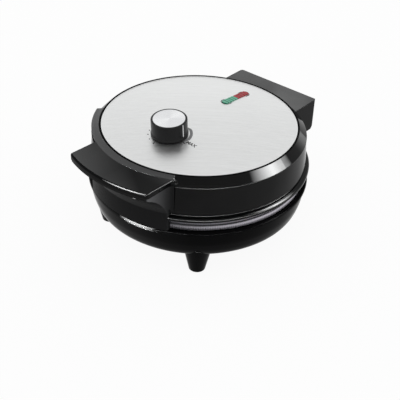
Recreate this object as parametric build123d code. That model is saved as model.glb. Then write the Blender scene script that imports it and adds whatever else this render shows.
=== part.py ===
from build123d import *
import math
import os

os.makedirs("parts", exist_ok=True)

# Round waffle maker, in millimetres.
# The table is z = 0, the body's axis is z, the handle points to -y and the hinge to +y.

# Clearances
fit_gap = 0.3             # between bodies that move past each other
seat_gap = 0.2            # between a loose piece and its seat
contact_gap = 0.05        # between clamped faces
running_gap = 0.05        # radial, round shafts and hinge pins
glue_gap = 0.15           # layer under the steel cover plate
thread_gap = 0.1          # radial, round screws

# Round body: the lid's lip is the widest round, the others step in from each other
lip_radius = 100.0
lid_wall_step = 3.2
ring_outer_step = 1.6
ring_width = 7.0
steel_step = 1.7
flange_step = 5.0
flange_width = 6.4
cavity_step = 4.6
base_rim_step = 0.4
base_neck_step = 1.8
base_belly_step = 1.6
base_corner_step = 3.4
base_floor_step = 7.0

# Heights of the body, from the table up
base_floor_z = 21.0
base_corner_rise = 4.0
base_belly_rise = 13.0
part_line_z = 56.4
base_rim_drop = 5.4
lid_bottom_rise = 5.2
lid_groove_rise = 6.2
lid_wall_height = 25.1
ring_slope_height = 7.1

# Steel cover plate and the lid's turned wall
steel_sink = 0.4
steel_thickness = 0.8
dome_rise = 6.3
lid_wall = 2.4
lid_groove_depth = 1.0
lid_groove_height = 1.0
lip_height = 4.0
lip_edge = 0.8            # bevel of the lip's and the base rim's edges
ring_chamfer = 0.4
ring_undercut = 0.3

# Waffle plates: a grid casting seated in a rim casting
plate_gap = 0.5           # between the closed plates' rims
flange_height = 5.4
flange_edge = 0.6
cavity_depth = 6.6
casting_thickness = 3.6
grid_seat_width = 2.4
grid_seat_height = 1.8
stud_pitch = 14.0
stud_first = 11.0
stud_foot = 9.0
stud_height = 4.4
stud_wall_gap = 3.0
divider_foot = 6.4
draft_angle = 14.0
spill_groove_step = 5.5
spill_groove_width = 2.4
spill_groove_depth = 1.2
plate_lug_height = 3.0
cradle_height = 3.4
cradle_rib = 1.8

# Base
base_rim_height = 3.2
base_neck_drop = 1.2
base_wall = 2.6
bowl_floor_slope = (1.0, 0.15)
bowl_neck_slope = (0.08, 1.0)
bowl_corner_lean = (0.8, 0.6)   # direction square to the bowl at its corner
vent_length = 30.0
vent_width = 3.0
vent_pitch = 7.5
vent_count = 4
vent_row_y = 22.0

# Feet
foot_inset = 4.3
foot_top_radius = 11.7
foot_end_radius = 7.4
foot_end_round = 0.9
foot_angles = {"rear_right": 49.0, "rear_left": 131.0, "front_left": 229.0, "front_right": 311.0}
foot_screw_inset = 4.0
foot_screw_length = 12.0
pad_radius = 5.4
pad_height = 2.2
pad_stand = 0.8

# Handle
handle_half_width = 43.7
handle_reach = 21.6
handle_sink = 0.6
handle_slope = 1.2
handle_root_step = 2.8
handle_edge_height = 4.6
handle_edge_round = 1.6
handle_corner = 3.0
handle_flare = 6.0
flare_rise = 7.0
seam_gap = 0.15
seam_inset = 0.6
grip_lip_height = 2.4
grip_wall = 2.4
grip_hollow = 3.0
skirt_stand = 0.2
skirt_top_rise = 7.4
skirt_clear = 0.6
grip_screw_x = 24.0
grip_screw_inset = 15.6
grip_screw_length = 10.0
grip_boss_radius = 4.0

# Hinge
block_half_width = 44.8
block_reach = 18.6
block_sink = 0.5
block_slant = 5.4
block_corner = 4.0
block_bevel = 1.0
block_wall = 2.6
hinge_reach = 4.5
hinge_rise = 7.1
pin_radius = 2.5
pin_head_radius = 4.2
pin_head = 1.4
ear_radius = 6.4
ear_inner_x = 22.0
ear_width = 6.0
ear_foot_rise = 9.0
ear_root_depth = 8.0
ear_slot_gap = 0.8
ear_slot_height = 12.5
lug_width = 6.0
lug_radius = 6.0

# Knob and thermostat
knob_y = 39.3
knob_radius = 15.6
knob_foot_radius = 16.2
knob_foot_height = 1.2
knob_height = 14.4
knob_float = 0.9
knob_wall = 2.0
knob_edge_bevel = 0.5
hub_radius = 5.4
hub_foot = 4.0
cap_radius = 13.9
cap_thickness = 0.8
cap_bead = 0.6
cap_dish = 0.24
pointer_width = 1.0
pointer_depth = 0.8
pointer_stand = 0.15
spindle_radius = 3.0
spindle_flat = 1.0
spindle_top = 12.4
bushing_radius = 4.0
bushing_top = 2.2
nut_across = 10.4
nut_height = 1.8
thermostat_radius = 11.0
thermostat_height = 9.0
thermostat_floor = 2.0
blade_width = 5.0
blade_thickness = 0.8
blade_length = 8.0
blade_root = 3.0
blade_rise = 1.5
bracket_length = 34.0
bracket_width = 15.0
bracket_thickness = 1.0
bracket_lip = 4.0
clip_thickness = 0.6
clip_height = 4.0
clip_rise = 0.5
clip_opening = 3.0

# Lamps
lamp_near_y = 32.7
lamp_far_y = 67.8
lamp_width = 6.2
lens_stand = 0.6
lens_depth = 2.6
lens_flange = 1.3
lens_flange_height = 0.9
lens_joint = 0.2
lens_rib_count = 7
lens_rib_pitch = 2.2
lens_rib_radius = 0.5
lens_rib_stand = 0.3
tray_wall = 1.2
tray_margin = 1.0
tray_flange = 4.5
tray_flange_height = 1.0
tray_depth = 8.0
neon_radius = 2.0
neon_length = 12.0
neon_spacing = 17.0

# Heating
tube_radius = 3.25
element_inset = 14.0
element_gap_angle = 56.0
terminal_radius = 1.6
terminal_length = 10.0
shield_thickness = 0.8
shield_margin = 8.0
shield_rim_height = 5.0
shield_rim_lean = 1.5
shield_drop = 12.5
shield_hole_radius = 14.0
post_inset = 10.0
post_radius = 4.4
post_angles = (30.0, 150.0, 210.0, 330.0)
screw_radius = 1.5
screw_head_radius = 2.8
screw_head_height = 1.8
screw_recess = 3.0
screw_recess_radius = 3.3
screw_grip = 4.0
screw_end_gap = 0.5
block_length = 34.0
block_width = 14.0
block_height = 8.0
block_y = 48.0
well_radius = 2.2
well_depth = 5.0
well_pitch = 10.0
well_count = 3
terminal_slot = 0.6
fuse_radius = 2.0
fuse_length = 12.0
fuse_lead_radius = 0.6
fuse_lead_length = 7.0
fuse_inset = 22.0
fuse_strap_width = 4.0
fuse_strap_thickness = 0.6
fuse_strap_foot = 4.0

# Cord inlet
inlet_rise = 15.0
inlet_boss_radius = 9.5
inlet_boss_stand = 3.4
inlet_neck_radius = 5.6
inlet_bore = 3.4
inlet_flange_radius = 8.0
inlet_flange_height = 2.0
inlet_tip_radius = 5.2
inlet_tip = 6.0
inlet_tail = 2.0

# Rounds, worked out from the steps above
lid_wall_radius = lip_radius - lid_wall_step
ring_outer_radius = lid_wall_radius - ring_outer_step
ring_inner_radius = ring_outer_radius - ring_width
steel_radius = ring_inner_radius - steel_step
flange_radius = lip_radius - flange_step
plate_body_radius = flange_radius - flange_width
cavity_radius = plate_body_radius - cavity_step
spill_groove_radius = cavity_radius + spill_groove_step
base_rim_radius = lip_radius - base_rim_step
base_neck_radius = base_rim_radius - base_neck_step
base_belly_radius = base_neck_radius - base_belly_step
base_corner_radius = base_belly_radius - base_corner_step
base_floor_radius = base_corner_radius - base_floor_step
post_circle_radius = cavity_radius - post_inset
element_radius = post_circle_radius - element_inset
fuse_y = post_circle_radius - fuse_inset
shield_radius = post_circle_radius + shield_margin
foot_circle_radius = base_floor_radius - foot_inset
foot_screw_radius = foot_circle_radius - foot_screw_inset
handle_radius = lip_radius + handle_reach
handle_root_radius = ring_inner_radius + handle_root_step
skirt_radius = lip_radius + skirt_stand
grip_screw_y = handle_radius - grip_screw_inset
block_rear = lip_radius + block_reach
hinge_y = lip_radius + hinge_reach
inlet_boss_y = base_belly_radius + inlet_boss_stand

# Heights, worked out from the rises above
base_corner_z = base_floor_z + base_corner_rise
base_belly_z = base_floor_z + base_belly_rise
base_rim_top_z = part_line_z - base_rim_drop
lid_bottom_z = part_line_z + lid_bottom_rise
lid_groove_z = lid_bottom_z + lid_groove_rise
ring_slope_z = lid_groove_z + lid_wall_height
ring_top_z = ring_slope_z + ring_slope_height
steel_edge_z = ring_top_z - steel_sink
handle_top_z = ring_top_z - handle_sink
handle_root_z = handle_top_z - handle_slope
skirt_top_z = lid_bottom_z + skirt_top_rise
block_top_z = ring_slope_z - block_sink
block_low_z = lid_bottom_z + block_slant
hinge_z = part_line_z + hinge_rise
ear_foot_z = base_floor_z + ear_foot_rise
ear_slot_top_z = hinge_z + ear_slot_height
inlet_z = base_floor_z + inlet_rise

# Seats and surfaces that several pieces share
dome_radius = (steel_radius ** 2 + dome_rise ** 2) / (2 * dome_rise)
dome_centre_z = steel_edge_z + dome_rise - dome_radius
shell_top = steel_thickness + glue_gap
shell_under = shell_top + lid_wall
seat_radius = steel_radius + seat_gap
low_rim_z = part_line_z - plate_gap / 2
low_flange_z = low_rim_z - flange_height
cavity_floor_z = low_rim_z - cavity_depth
low_under_z = cavity_floor_z - casting_thickness
low_lug_z = low_under_z - plate_lug_height
low_shield_z = low_under_z - shield_drop
high_flange_z = 2 * part_line_z - low_flange_z
high_shield_z = 2 * part_line_z - low_shield_z
grid_seat_z = low_under_z + grid_seat_height
screw_end_z = low_lug_z + screw_grip
inner_floor_z = base_floor_z + base_wall
plate_recess = flange_radius + 2 * fit_gap
ledge_radius = flange_radius - lid_wall
skirt_low_z = base_rim_top_z + skirt_clear
seam_z = handle_top_z - handle_edge_height
block_bottom_z = lid_bottom_z
lug_inner_x = ear_inner_x + ear_width + fit_gap
lug_outer_x = lug_inner_x + lug_width
lamp_middle_y = (lamp_near_y + lamp_far_y) / 2
lamp_length = lamp_far_y - lamp_near_y
knob_top = knob_float + knob_height
lid_top_z = dome_centre_z + dome_radius
draft = math.tan(math.radians(draft_angle))
cavity_floor_radius = cavity_radius - cavity_depth * draft
stud_reach = cavity_floor_radius - stud_wall_gap
lip_top_z = lid_bottom_z + lip_height
flare_run = (handle_half_width + handle_flare) / (1 + handle_flare / lid_wall_radius) - handle_half_width
past = 1.0                # how far a cutter runs past what it cuts


def dome_height(distance, below=0.0):
    """Height of the dome, or of the surface a depth under it, at a distance from the axis."""
    return dome_centre_z + math.sqrt((dome_radius - below) ** 2 - distance ** 2)


def dome_arc(start, end, below=0.0):
    """Arc of the dome's section between two distances from the axis."""
    stops = (start, (start + end) / 2, end)
    return ThreePointArc(*[(d, dome_height(d, below)) for d in stops])


def dome_sag(reach):
    """How far the dome falls away from a flat piece that touches it, at the piece's end."""
    return dome_radius - math.sqrt(dome_radius ** 2 - reach ** 2)


def slope_radius(z):
    """Radius of the lid ring's sloped face at a height."""
    share = (ring_top_z - z) / (ring_top_z - ring_slope_z)
    return ring_inner_radius + share * (ring_outer_radius - ring_inner_radius)


def turned(*edges):
    """Solid of revolution from the closed section (distance from the axis, height)."""
    return revolve(Plane.XZ * make_face(edges), Axis.Z)


def turned_outline(*points):
    """Solid of revolution whose section is the straight runs between the points."""
    return turned(Polyline(*points, close=True))


def disc(radius, z_low, z_high):
    """Upright cylinder between two heights."""
    return Pos(0, 0, z_low) * extrude(Circle(radius), z_high - z_low)


def tube(radius, bore, z_low, z_high):
    """Upright tube between two heights."""
    return disc(radius, z_low, z_high) - disc(bore, z_low - past, z_high + past)


def slab_x(points, x_low, x_high):
    """Solid with a straight-sided section (y, z), running along x."""
    face = Plane.YZ * make_face(Polyline(*points, close=True))
    return Pos(x_low, 0, 0) * extrude(face, x_high - x_low)


def bar_x(radius, y, z, x_low, x_high):
    """Round bar along x."""
    return Pos(x_low, y, z) * extrude(Plane.YZ * Circle(radius), x_high - x_low)


def cone_y(start_radius, end_radius, z, y_low, y_high):
    """Round bar along y through the body's middle, straight or tapering."""
    height = y_high - y_low
    body = Cylinder(start_radius, height)
    if end_radius != start_radius:
        body = Cone(start_radius, end_radius, height)
    return Pos(0, (y_low + y_high) / 2, z) * Rot(-90, 0, 0) * body


def box_between(low, high):
    """Box from its lowest to its highest corner."""
    size = [h - l for l, h in zip(low, high)]
    middle = [(h + l) / 2 for l, h in zip(low, high)]
    return Pos(*middle) * Box(*size)


def around(shape, angles, radius):
    """Copies of a shape standing on a circle round the axis."""
    return [Rot(0, 0, a) * Pos(radius, 0, 0) * shape for a in angles]


def both_sides(shape):
    """A shape and its mirror image across the body's middle."""
    return [shape, mirror(shape, Plane.YZ)]


def group(shapes):
    """Several separate solids in one node."""
    return Compound(children=[s for shape in shapes for s in shape.solids()])


def dome_place(y):
    """Frame on the dome at a place on the y axis, square to the surface there."""
    tilt = math.degrees(math.asin(y / dome_radius))
    return Pos(0, y, dome_height(abs(y))) * Rot(-tilt, 0, 0)


def flip_to_lid(shape):
    """Lower half's shape turned over into the lid's half, across the parting line."""
    return mirror(shape, Plane.XY.offset(part_line_z))


def screw(shank_low, head_low, head_up):
    """Round-headed screw on the axis; the head is above or below the place it bears on."""
    head_far = head_low + screw_head_height if head_up else head_low - screw_head_height
    head = disc(screw_head_radius, min(head_low, head_far), max(head_low, head_far))
    return head + disc(screw_radius, min(shank_low, head_low), max(shank_low, head_low))


knob_place = dome_place(-knob_y)
lamp_place = dome_place(lamp_middle_y)
parts = {}


# Steel cover plate: a shallow dome with a hole for the spindle and a slot for the lamps
def lamp_outline(margin, low, high):
    outline = SlotOverall(lamp_length + 2 * margin, lamp_width + 2 * margin, rotation=90)
    return Pos(0, 0, low) * extrude(outline, high - low)


def make_steel_plate():
    edge_low = dome_height(steel_radius, steel_thickness)
    plate = turned(
        dome_arc(0, steel_radius),
        Line((steel_radius, steel_edge_z), (steel_radius, edge_low)),
        dome_arc(steel_radius, 0, steel_thickness),
        Line((0, dome_height(0, steel_thickness)), (0, dome_height(0))),
    )
    plate -= knob_place * disc(bushing_radius + seat_gap, -shell_under, shell_under)
    return plate - lamp_place * lamp_outline(seat_gap, -shell_under, shell_under)


parts["lid_steel_plate"] = make_steel_plate()


# Lid moulding: turned ring and wall, dome under the steel, handle top and hinge block
def make_lid_wall():
    under_edge = seat_radius - lid_wall, dome_height(seat_radius - lid_wall, shell_under)
    groove = lid_wall_radius - lid_groove_depth
    groove_low_z = lip_top_z + lid_groove_height / 2
    outline = Polyline(
        (seat_radius, dome_height(seat_radius, shell_top)),
        (seat_radius, ring_top_z - ring_chamfer),
        (seat_radius + ring_chamfer, ring_top_z),
        (ring_inner_radius, ring_top_z),
        (ring_outer_radius, ring_slope_z),
        (ring_outer_radius - ring_undercut, ring_slope_z - 2 * ring_undercut),
        (lid_wall_radius, lid_groove_z),
        (groove, groove_low_z + lid_groove_height),
        (groove, groove_low_z),
        (lip_radius - lip_edge, lip_top_z - lip_edge / 4),
        (lip_radius, lip_top_z - 1.5 * lip_edge),
        (lip_radius, lid_bottom_z + lip_edge),
        (lip_radius - lip_edge, lid_bottom_z),
        (plate_recess, lid_bottom_z),
        (plate_recess, high_flange_z + seat_gap),
        (ledge_radius, high_flange_z + seat_gap),
        (ledge_radius, high_flange_z + 1.5 * lid_wall),
        (lid_wall_radius - lid_wall, lid_groove_z + lid_wall),
        (ring_outer_radius - lid_wall, ring_slope_z - lid_wall),
        (seat_radius, under_edge[1] - lid_wall / 2),
        under_edge,
    )
    return turned(
        dome_arc(0, seat_radius, shell_top),
        outline,
        dome_arc(under_edge[0], 0, shell_under),
        Line((0, dome_height(0, shell_under)), (0, dome_height(0, shell_top))),
    )


def handle_plan(half_width, reach, wall_radius, inner_radius, flare=handle_flare):
    """Handle seen from above: straight sides, rounded corners, flares into the round wall."""
    strip = Pos(0, -reach / 2) * Rectangle(2 * half_width, reach)
    plan = (strip & Circle(reach)) + Circle(wall_radius)
    if flare:
        plan = fillet(front_vertices(plan, wall_radius), flare)
    plan = fillet(front_vertices(plan, reach), handle_corner) - Circle(wall_radius)
    return plan + ((strip & Circle(wall_radius)) - Circle(inner_radius))


def front_vertices(plan, distance):
    """A plan's corners on the handle's side, at a distance from the axis."""
    near = [v for v in plan.vertices() if abs(math.hypot(v.X, v.Y) - distance) < contact_gap]
    return [v for v in near if v.Y < -distance / 4]


def flare_wedges(gap=0.0):
    """What is cut off under the handle's flares: they end on a slant above the lid's lip."""
    inner, outer = handle_half_width + gap, handle_half_width + 2 * flare_run
    low, high = base_rim_top_z - past, lip_top_z + lid_groove_height + flare_rise - gap
    section = ((inner, low), (inner, high), (outer, high - 2 * flare_rise), (outer, low))
    wedge = Plane.XZ * make_face(Polyline(*section, close=True))
    front = Pos(0, -lip_radius / 2, 0) * extrude(wedge, lip_radius)
    return group(both_sides(front))


def make_handle_top():
    edge = handle_edge_round
    near = 1 - math.sqrt(0.5)
    section = turned(
        Line((handle_root_radius, handle_root_z), (handle_radius - edge, handle_top_z)),
        ThreePointArc(
            (handle_radius - edge, handle_top_z),
            (handle_radius - near * edge, handle_top_z - near * edge),
            (handle_radius, handle_top_z - edge),
        ),
        Polyline(
            (handle_radius, handle_top_z - edge),
            (handle_radius, seam_z),
            (handle_root_radius, seam_z),
            (handle_root_radius, handle_root_z),
        ),
    )
    plan = handle_plan(handle_half_width, handle_radius, slope_radius(seam_z), handle_root_radius)
    return section & extrude(plan, lid_top_z)


def make_hinge_block():
    slant = block_low_z - block_bottom_z
    front = ring_outer_radius - block_corner - block_half_width
    plan = Pos(0, (front + block_rear) / 2) * Rectangle(2 * block_half_width, block_rear - front)
    corners = [v for v in plan.vertices() if v.Y > hinge_y]
    plan = fillet(corners, block_corner) - Circle(ring_outer_radius - lid_wall / 4)
    outer = slab_x(
        (
            (front, block_bottom_z),
            (block_rear - slant, block_bottom_z),
            (block_rear, block_low_z),
            (block_rear, block_top_z - block_bevel),
            (block_rear - block_bevel, block_top_z),
            (front, block_top_z),
        ),
        -block_half_width,
        block_half_width,
    )
    outer &= extrude(plan, lid_top_z)
    inner_rear = block_rear - block_wall
    hollow_half = block_half_width - block_wall
    hollow = slab_x(
        (
            (front, block_bottom_z - past),
            (inner_rear - slant - 2 * past, block_bottom_z - past),
            (inner_rear, block_low_z + past),
            (inner_rear, block_top_z - block_wall),
            (front, block_top_z - block_wall),
        ),
        -hollow_half,
        hollow_half,
    )
    hollow -= disc(lid_wall_radius - lid_wall / 4, 0, lid_top_z)
    outer -= disc(plate_recess, 0, high_flange_z + seat_gap)
    return outer - hollow


def make_hinge_lug():
    top = block_top_z - block_wall / 2
    low_y, high_y = hinge_y - lug_radius, hinge_y + lug_radius
    web = ((low_y, hinge_z), (high_y, hinge_z), (high_y, top), (low_y, top))
    lug = slab_x(web, lug_inner_x, lug_outer_x)
    lug += bar_x(lug_radius, hinge_y, hinge_z, lug_inner_x, lug_outer_x)
    return lug - bar_x(pin_radius + running_gap, hinge_y, hinge_z, lug_inner_x - past, lug_outer_x + past)


def lid_screw_seat_z():
    return dome_height(post_circle_radius + screw_recess_radius, shell_top) - screw_recess


def make_lid_housing():
    housing = make_lid_wall() + make_handle_top() + make_hinge_block()
    for lug in both_sides(make_hinge_lug()):
        housing += lug
    slot_low = (ear_inner_x - ear_slot_gap, hinge_y - lug_radius, block_bottom_z - past)
    slot_high = (lug_inner_x, block_rear + past, ear_slot_top_z)
    for slot in both_sides(box_between(slot_low, slot_high)):
        housing -= slot
    boss_top = dome_height(post_circle_radius + post_radius, shell_under) + lid_wall / 2
    boss = disc(post_radius, high_shield_z + contact_gap, boss_top)
    hole = disc(screw_radius + thread_gap, high_shield_z - past, lid_top_z)
    hole += disc(screw_recess_radius, lid_screw_seat_z(), lid_top_z)
    for copy in around(boss, post_angles, post_circle_radius):
        housing += copy
    for copy in around(hole, post_angles, post_circle_radius):
        housing -= copy
    housing -= knob_place * disc(bushing_radius + seat_gap, -2 * shell_under, shell_under)
    housing -= lamp_place * lamp_outline(lens_flange + seat_gap, -2 * shell_under, shell_under)
    lip_plan = handle_plan(
        handle_half_width + seat_gap,
        handle_radius,
        lid_wall_radius + 2 * seat_gap,
        lid_wall_radius,
        handle_flare - seat_gap,
    )
    housing -= extrude(lip_plan, lid_groove_z) - flare_wedges(seat_gap)
    pilot = disc(screw_radius + thread_gap, seam_z - past, seam_z + handle_edge_height / 2)
    for x in (-grip_screw_x, grip_screw_x):
        housing -= Pos(x, -grip_screw_y, 0) * pilot
    return housing


parts["lid_housing"] = make_lid_housing()


# Underside of the handle: a cove for the fingers that runs down into a front skirt
cove_top = (handle_radius - 2 * seam_inset, seam_z - seam_gap - grip_lip_height)
cove_foot = (skirt_radius, skirt_top_z)
cove_run = cove_top[0] - cove_foot[0]
cove_fall = cove_top[1] - cove_foot[1]
cove_chord = math.hypot(cove_run, cove_fall)
cove_radius = (cove_chord ** 2 / 4 + grip_hollow ** 2) / (2 * grip_hollow)
cove_normal = (-cove_fall / cove_chord, cove_run / cove_chord)
cove_centre = [
    (t + f) / 2 + (grip_hollow - cove_radius) * n
    for t, f, n in zip(cove_top, cove_foot, cove_normal)
]


def cove_arc(inset):
    """Arc of the finger cove, or of the inside an inset deeper, with its two ends."""
    shift = [inset * n for n in cove_normal]
    start = (cove_top[0] + shift[0], cove_top[1] + shift[1])
    end = (cove_foot[0] + shift[0], cove_foot[1] + shift[1])
    reach = cove_radius + inset
    middle = (cove_centre[0] + reach * cove_normal[0], cove_centre[1] + reach * cove_normal[1])
    return start, end, ThreePointArc(start, middle, end)


def cove_height(distance):
    """Height of the cove at a distance from the axis."""
    return cove_centre[1] + math.sqrt(cove_radius ** 2 - (distance - cove_centre[0]) ** 2)


grip_seat_z = cove_height(math.hypot(grip_screw_x, grip_screw_y)) + screw_recess


def make_handle_underside():
    top = seam_z - seam_gap
    reach = handle_radius - seam_inset
    root = handle_root_radius
    start, end, arc = cove_arc(0.0)
    body = turned(
        Polyline((root, top), (reach, top), (reach, start[1] + seam_inset), start),
        arc,
        Polyline(end, (skirt_radius, skirt_low_z), (root, skirt_low_z), (root, top)),
    )
    wall = lid_wall_radius + 2 * seat_gap
    body &= extrude(handle_plan(handle_half_width, reach, wall, root), lid_top_z)
    body -= flare_wedges()
    start, end, arc = cove_arc(grip_wall)
    hollow = turned(
        Polyline((root, top + past), (start[0], top + past), start),
        arc,
        Polyline(end, (root, end[1]), (root, top + past)),
    )
    inner_half = handle_half_width - grip_wall
    hollow &= box_between((-inner_half, -handle_radius, 0), (inner_half, -past, lid_top_z))
    boss = disc(grip_boss_radius, 0, lid_top_z)
    hole = disc(screw_radius + thread_gap, 0, lid_top_z)
    hole += disc(screw_recess_radius, 0, grip_seat_z)
    for x in (-grip_screw_x, grip_screw_x):
        hollow -= Pos(x, -grip_screw_y, 0) * boss
    body -= hollow
    for x in (-grip_screw_x, grip_screw_x):
        body -= Pos(x, -grip_screw_y, 0) * hole
    return body - turned_outline(
        (0, skirt_low_z - past),
        (wall, skirt_low_z - past),
        (wall, lid_groove_z),
        (ring_outer_radius + seat_gap, ring_slope_z),
        (slope_radius(seam_z) + seat_gap, seam_z),
        (slope_radius(seam_z), seam_z + past),
        (0, seam_z + past),
    )


parts["handle_underside"] = make_handle_underside()
grip_screw = screw(grip_seat_z + grip_screw_length, grip_seat_z, head_up=False)
parts["handle_screws"] = group(
    [Pos(x, -grip_screw_y, 0) * grip_screw for x in (-grip_screw_x, grip_screw_x)]
)


# Base moulding: bowl with a rolled rim, hinge ears, inlet boss, screw posts and vents
def bowl_section(inset):
    """Bowl from its floor to its neck; the inset shifts it inwards for the inside."""
    neck = base_neck_radius - inset, base_rim_top_z - base_rim_height - base_neck_drop
    stops = (
        (base_floor_radius - inset / 2, base_floor_z + inset),
        (base_corner_radius - inset * bowl_corner_lean[0], base_corner_z + inset * bowl_corner_lean[1]),
        (base_belly_radius - inset, base_belly_z),
        neck,
    )
    curve = Spline(*stops, tangents=(bowl_floor_slope, bowl_neck_slope))
    return neck, [Line((0, base_floor_z + inset), stops[0]), curve]


def make_bowl_outside():
    neck, edges = bowl_section(0.0)
    rim_low = base_rim_top_z - base_rim_height
    return turned(
        *edges,
        Polyline(
            neck,
            (base_rim_radius - lip_edge, rim_low),
            (base_rim_radius, rim_low + lip_edge),
            (base_rim_radius, base_rim_top_z - lip_edge),
            (base_rim_radius - lip_edge, base_rim_top_z),
            (0, base_rim_top_z),
            (0, base_floor_z),
        ),
    )


def make_bowl_inside():
    neck, edges = bowl_section(base_wall)
    ledge_z = low_flange_z - seat_gap
    return turned(
        *edges,
        Polyline(
            neck,
            (neck[0], ledge_z - 2 * base_wall),
            (ledge_radius, ledge_z - base_wall),
            (ledge_radius, ledge_z),
            (plate_recess, ledge_z),
            (plate_recess, base_rim_top_z + past),
            (0, base_rim_top_z + past),
            (0, inner_floor_z),
        ),
    )


def make_hinge_ear():
    front_y, rear_y = hinge_y - ear_radius, hinge_y + ear_radius
    web = (
        (base_corner_radius - ear_root_depth, ear_foot_z),
        (base_corner_radius + ear_root_depth / 4, ear_foot_z),
        (rear_y, hinge_z - ear_radius),
        (rear_y, hinge_z),
        (front_y, hinge_z),
        (front_y, base_rim_top_z - past),
        (base_corner_radius - ear_root_depth, base_rim_top_z - past),
    )
    outer_x = ear_inner_x + ear_width
    ear = slab_x(web, ear_inner_x, outer_x)
    return ear + bar_x(ear_radius, hinge_y, hinge_z, ear_inner_x, outer_x)


bowl_outside = make_bowl_outside()


def make_base_housing():
    base = bowl_outside
    for ear in both_sides(make_hinge_ear()):
        base += ear
    boss_root = base_corner_radius - ear_root_depth
    base += cone_y(inlet_boss_radius, inlet_boss_radius, inlet_z, boss_root, inlet_boss_y)
    base -= make_bowl_inside()
    post = disc(post_radius, base_floor_z + past, low_shield_z - contact_gap)
    for copy in around(post, post_angles, post_circle_radius):
        base += copy
    hole = disc(screw_radius + thread_gap, 0, low_shield_z + past)
    hole += disc(screw_recess_radius, 0, base_floor_z + screw_recess)
    for copy in around(hole, post_angles, post_circle_radius):
        base -= copy
    foot_hole = disc(screw_radius + thread_gap, 0, inner_floor_z + past)
    for copy in around(foot_hole, foot_angles.values(), foot_screw_radius):
        base -= copy
    pin_hole = bar_x(pin_radius + running_gap, hinge_y, hinge_z, ear_inner_x - past, lug_inner_x)
    for copy in both_sides(pin_hole):
        base -= copy
    neck_hole = inlet_neck_radius + contact_gap
    base -= cone_y(neck_hole, neck_hole, inlet_z, boss_root - inlet_tail, inlet_boss_y + past)
    vent = extrude(SlotOverall(vent_length, vent_width), inner_floor_z + past)
    for row in (-vent_row_y, vent_row_y):
        for place in GridLocations(1, vent_pitch, 1, vent_count).locations:
            base -= Pos(0, row, 0) * place * vent
    return base


parts["base_housing"] = make_base_housing()


# Feet: tapered legs cut to the bowl, each with a rubber pad in its end
def make_foot():
    slope = (foot_top_radius - foot_end_radius) / (base_floor_z - pad_stand)
    top = foot_top_radius + slope * (base_belly_z - base_floor_z)
    near = 1 - math.sqrt(0.5)
    end = foot_end_radius
    foot = turned(
        Line((0, pad_stand), (end - foot_end_round, pad_stand)),
        ThreePointArc(
            (end - foot_end_round, pad_stand),
            (end - near * foot_end_round, pad_stand + near * foot_end_round),
            (end, pad_stand + foot_end_round),
        ),
        Polyline(
            (end, pad_stand + foot_end_round),
            (foot_top_radius, base_floor_z),
            (top, base_belly_z),
            (0, base_belly_z),
            (0, pad_stand),
        ),
    )
    return foot - disc(pad_radius + contact_gap, 0, pad_height + contact_gap)


foot_screw_hole = disc(screw_radius + thread_gap, inner_floor_z - foot_screw_length - past, inner_floor_z)
for foot_name, angle in foot_angles.items():
    foot = around(make_foot(), [angle], foot_circle_radius)[0] - bowl_outside
    foot -= around(foot_screw_hole, [angle], foot_screw_radius)[0]
    parts["foot_" + foot_name] = foot

pad = disc(pad_radius, 0, pad_height)
parts["foot_pads"] = group(around(pad, foot_angles.values(), foot_circle_radius))
foot_screw = screw(inner_floor_z - foot_screw_length, inner_floor_z, head_up=True)
parts["foot_screws"] = group(around(foot_screw, foot_angles.values(), foot_screw_radius))


# Waffle plates: a grid casting with studs in four quarters, seated in a casting for the rim
def make_studs():
    limit = disc(stud_reach, cavity_floor_z - past, cavity_floor_z + stud_height + past)
    stud = extrude(Rectangle(stud_foot, stud_foot), stud_height, taper=draft_angle)
    row = int((stud_reach - stud_first) / stud_pitch)
    steps = [stud_first + stud_pitch * i for i in range(row + 1)]
    kept = []
    for x in [s for step in steps for s in (step, -step)]:
        for y in [s for step in steps for s in (step, -step)]:
            copy = Pos(x, y, cavity_floor_z) * stud
            if math.hypot(abs(x) + stud_foot / 2, abs(y) + stud_foot / 2) > stud_reach:
                copy = copy & limit
            if copy and copy.volume > 0.5 * stud.volume:
                kept.append(copy)
    return kept


def make_dividers():
    """Cross that parts the floor into quarters; its ends lean as the rim's wall does."""
    reach = cavity_floor_radius - contact_gap
    top = cavity_floor_z + stud_height
    limit = turned_outline(
        (0, cavity_floor_z), (reach, cavity_floor_z), (reach + stud_height * draft, top), (0, top)
    )
    bar = extrude(Rectangle(2 * lip_radius, divider_foot), stud_height, taper=draft_angle)
    return [(Pos(0, 0, cavity_floor_z) * Rot(0, 0, turn) * bar) & limit for turn in (0, 90)]


def make_lower_grid():
    reach = cavity_floor_radius - contact_gap
    plate = disc(reach - grid_seat_width, low_under_z, cavity_floor_z)
    plate += disc(reach, grid_seat_z + contact_gap, cavity_floor_z)
    plate += make_dividers()
    plate += make_studs()
    side = tube_radius + seat_gap
    for radius in (element_radius - side - cradle_rib, element_radius + side):
        plate += tube(radius + cradle_rib, radius, low_under_z - cradle_height, low_under_z + past)
    gap = element_radius * math.tan(math.radians(element_gap_angle / 2))
    far = element_radius + side + 2 * cradle_rib
    plate -= box_between((-gap, past, low_under_z - cradle_height - past), (gap, far, low_under_z))
    lug = disc(post_radius, low_lug_z, low_under_z + past)
    for copy in around(lug, post_angles, post_circle_radius):
        plate += copy
    hole = disc(screw_radius + thread_gap, low_lug_z - past, screw_end_z + screw_end_gap)
    for copy in around(hole, post_angles, post_circle_radius):
        plate -= copy
    return plate


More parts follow.
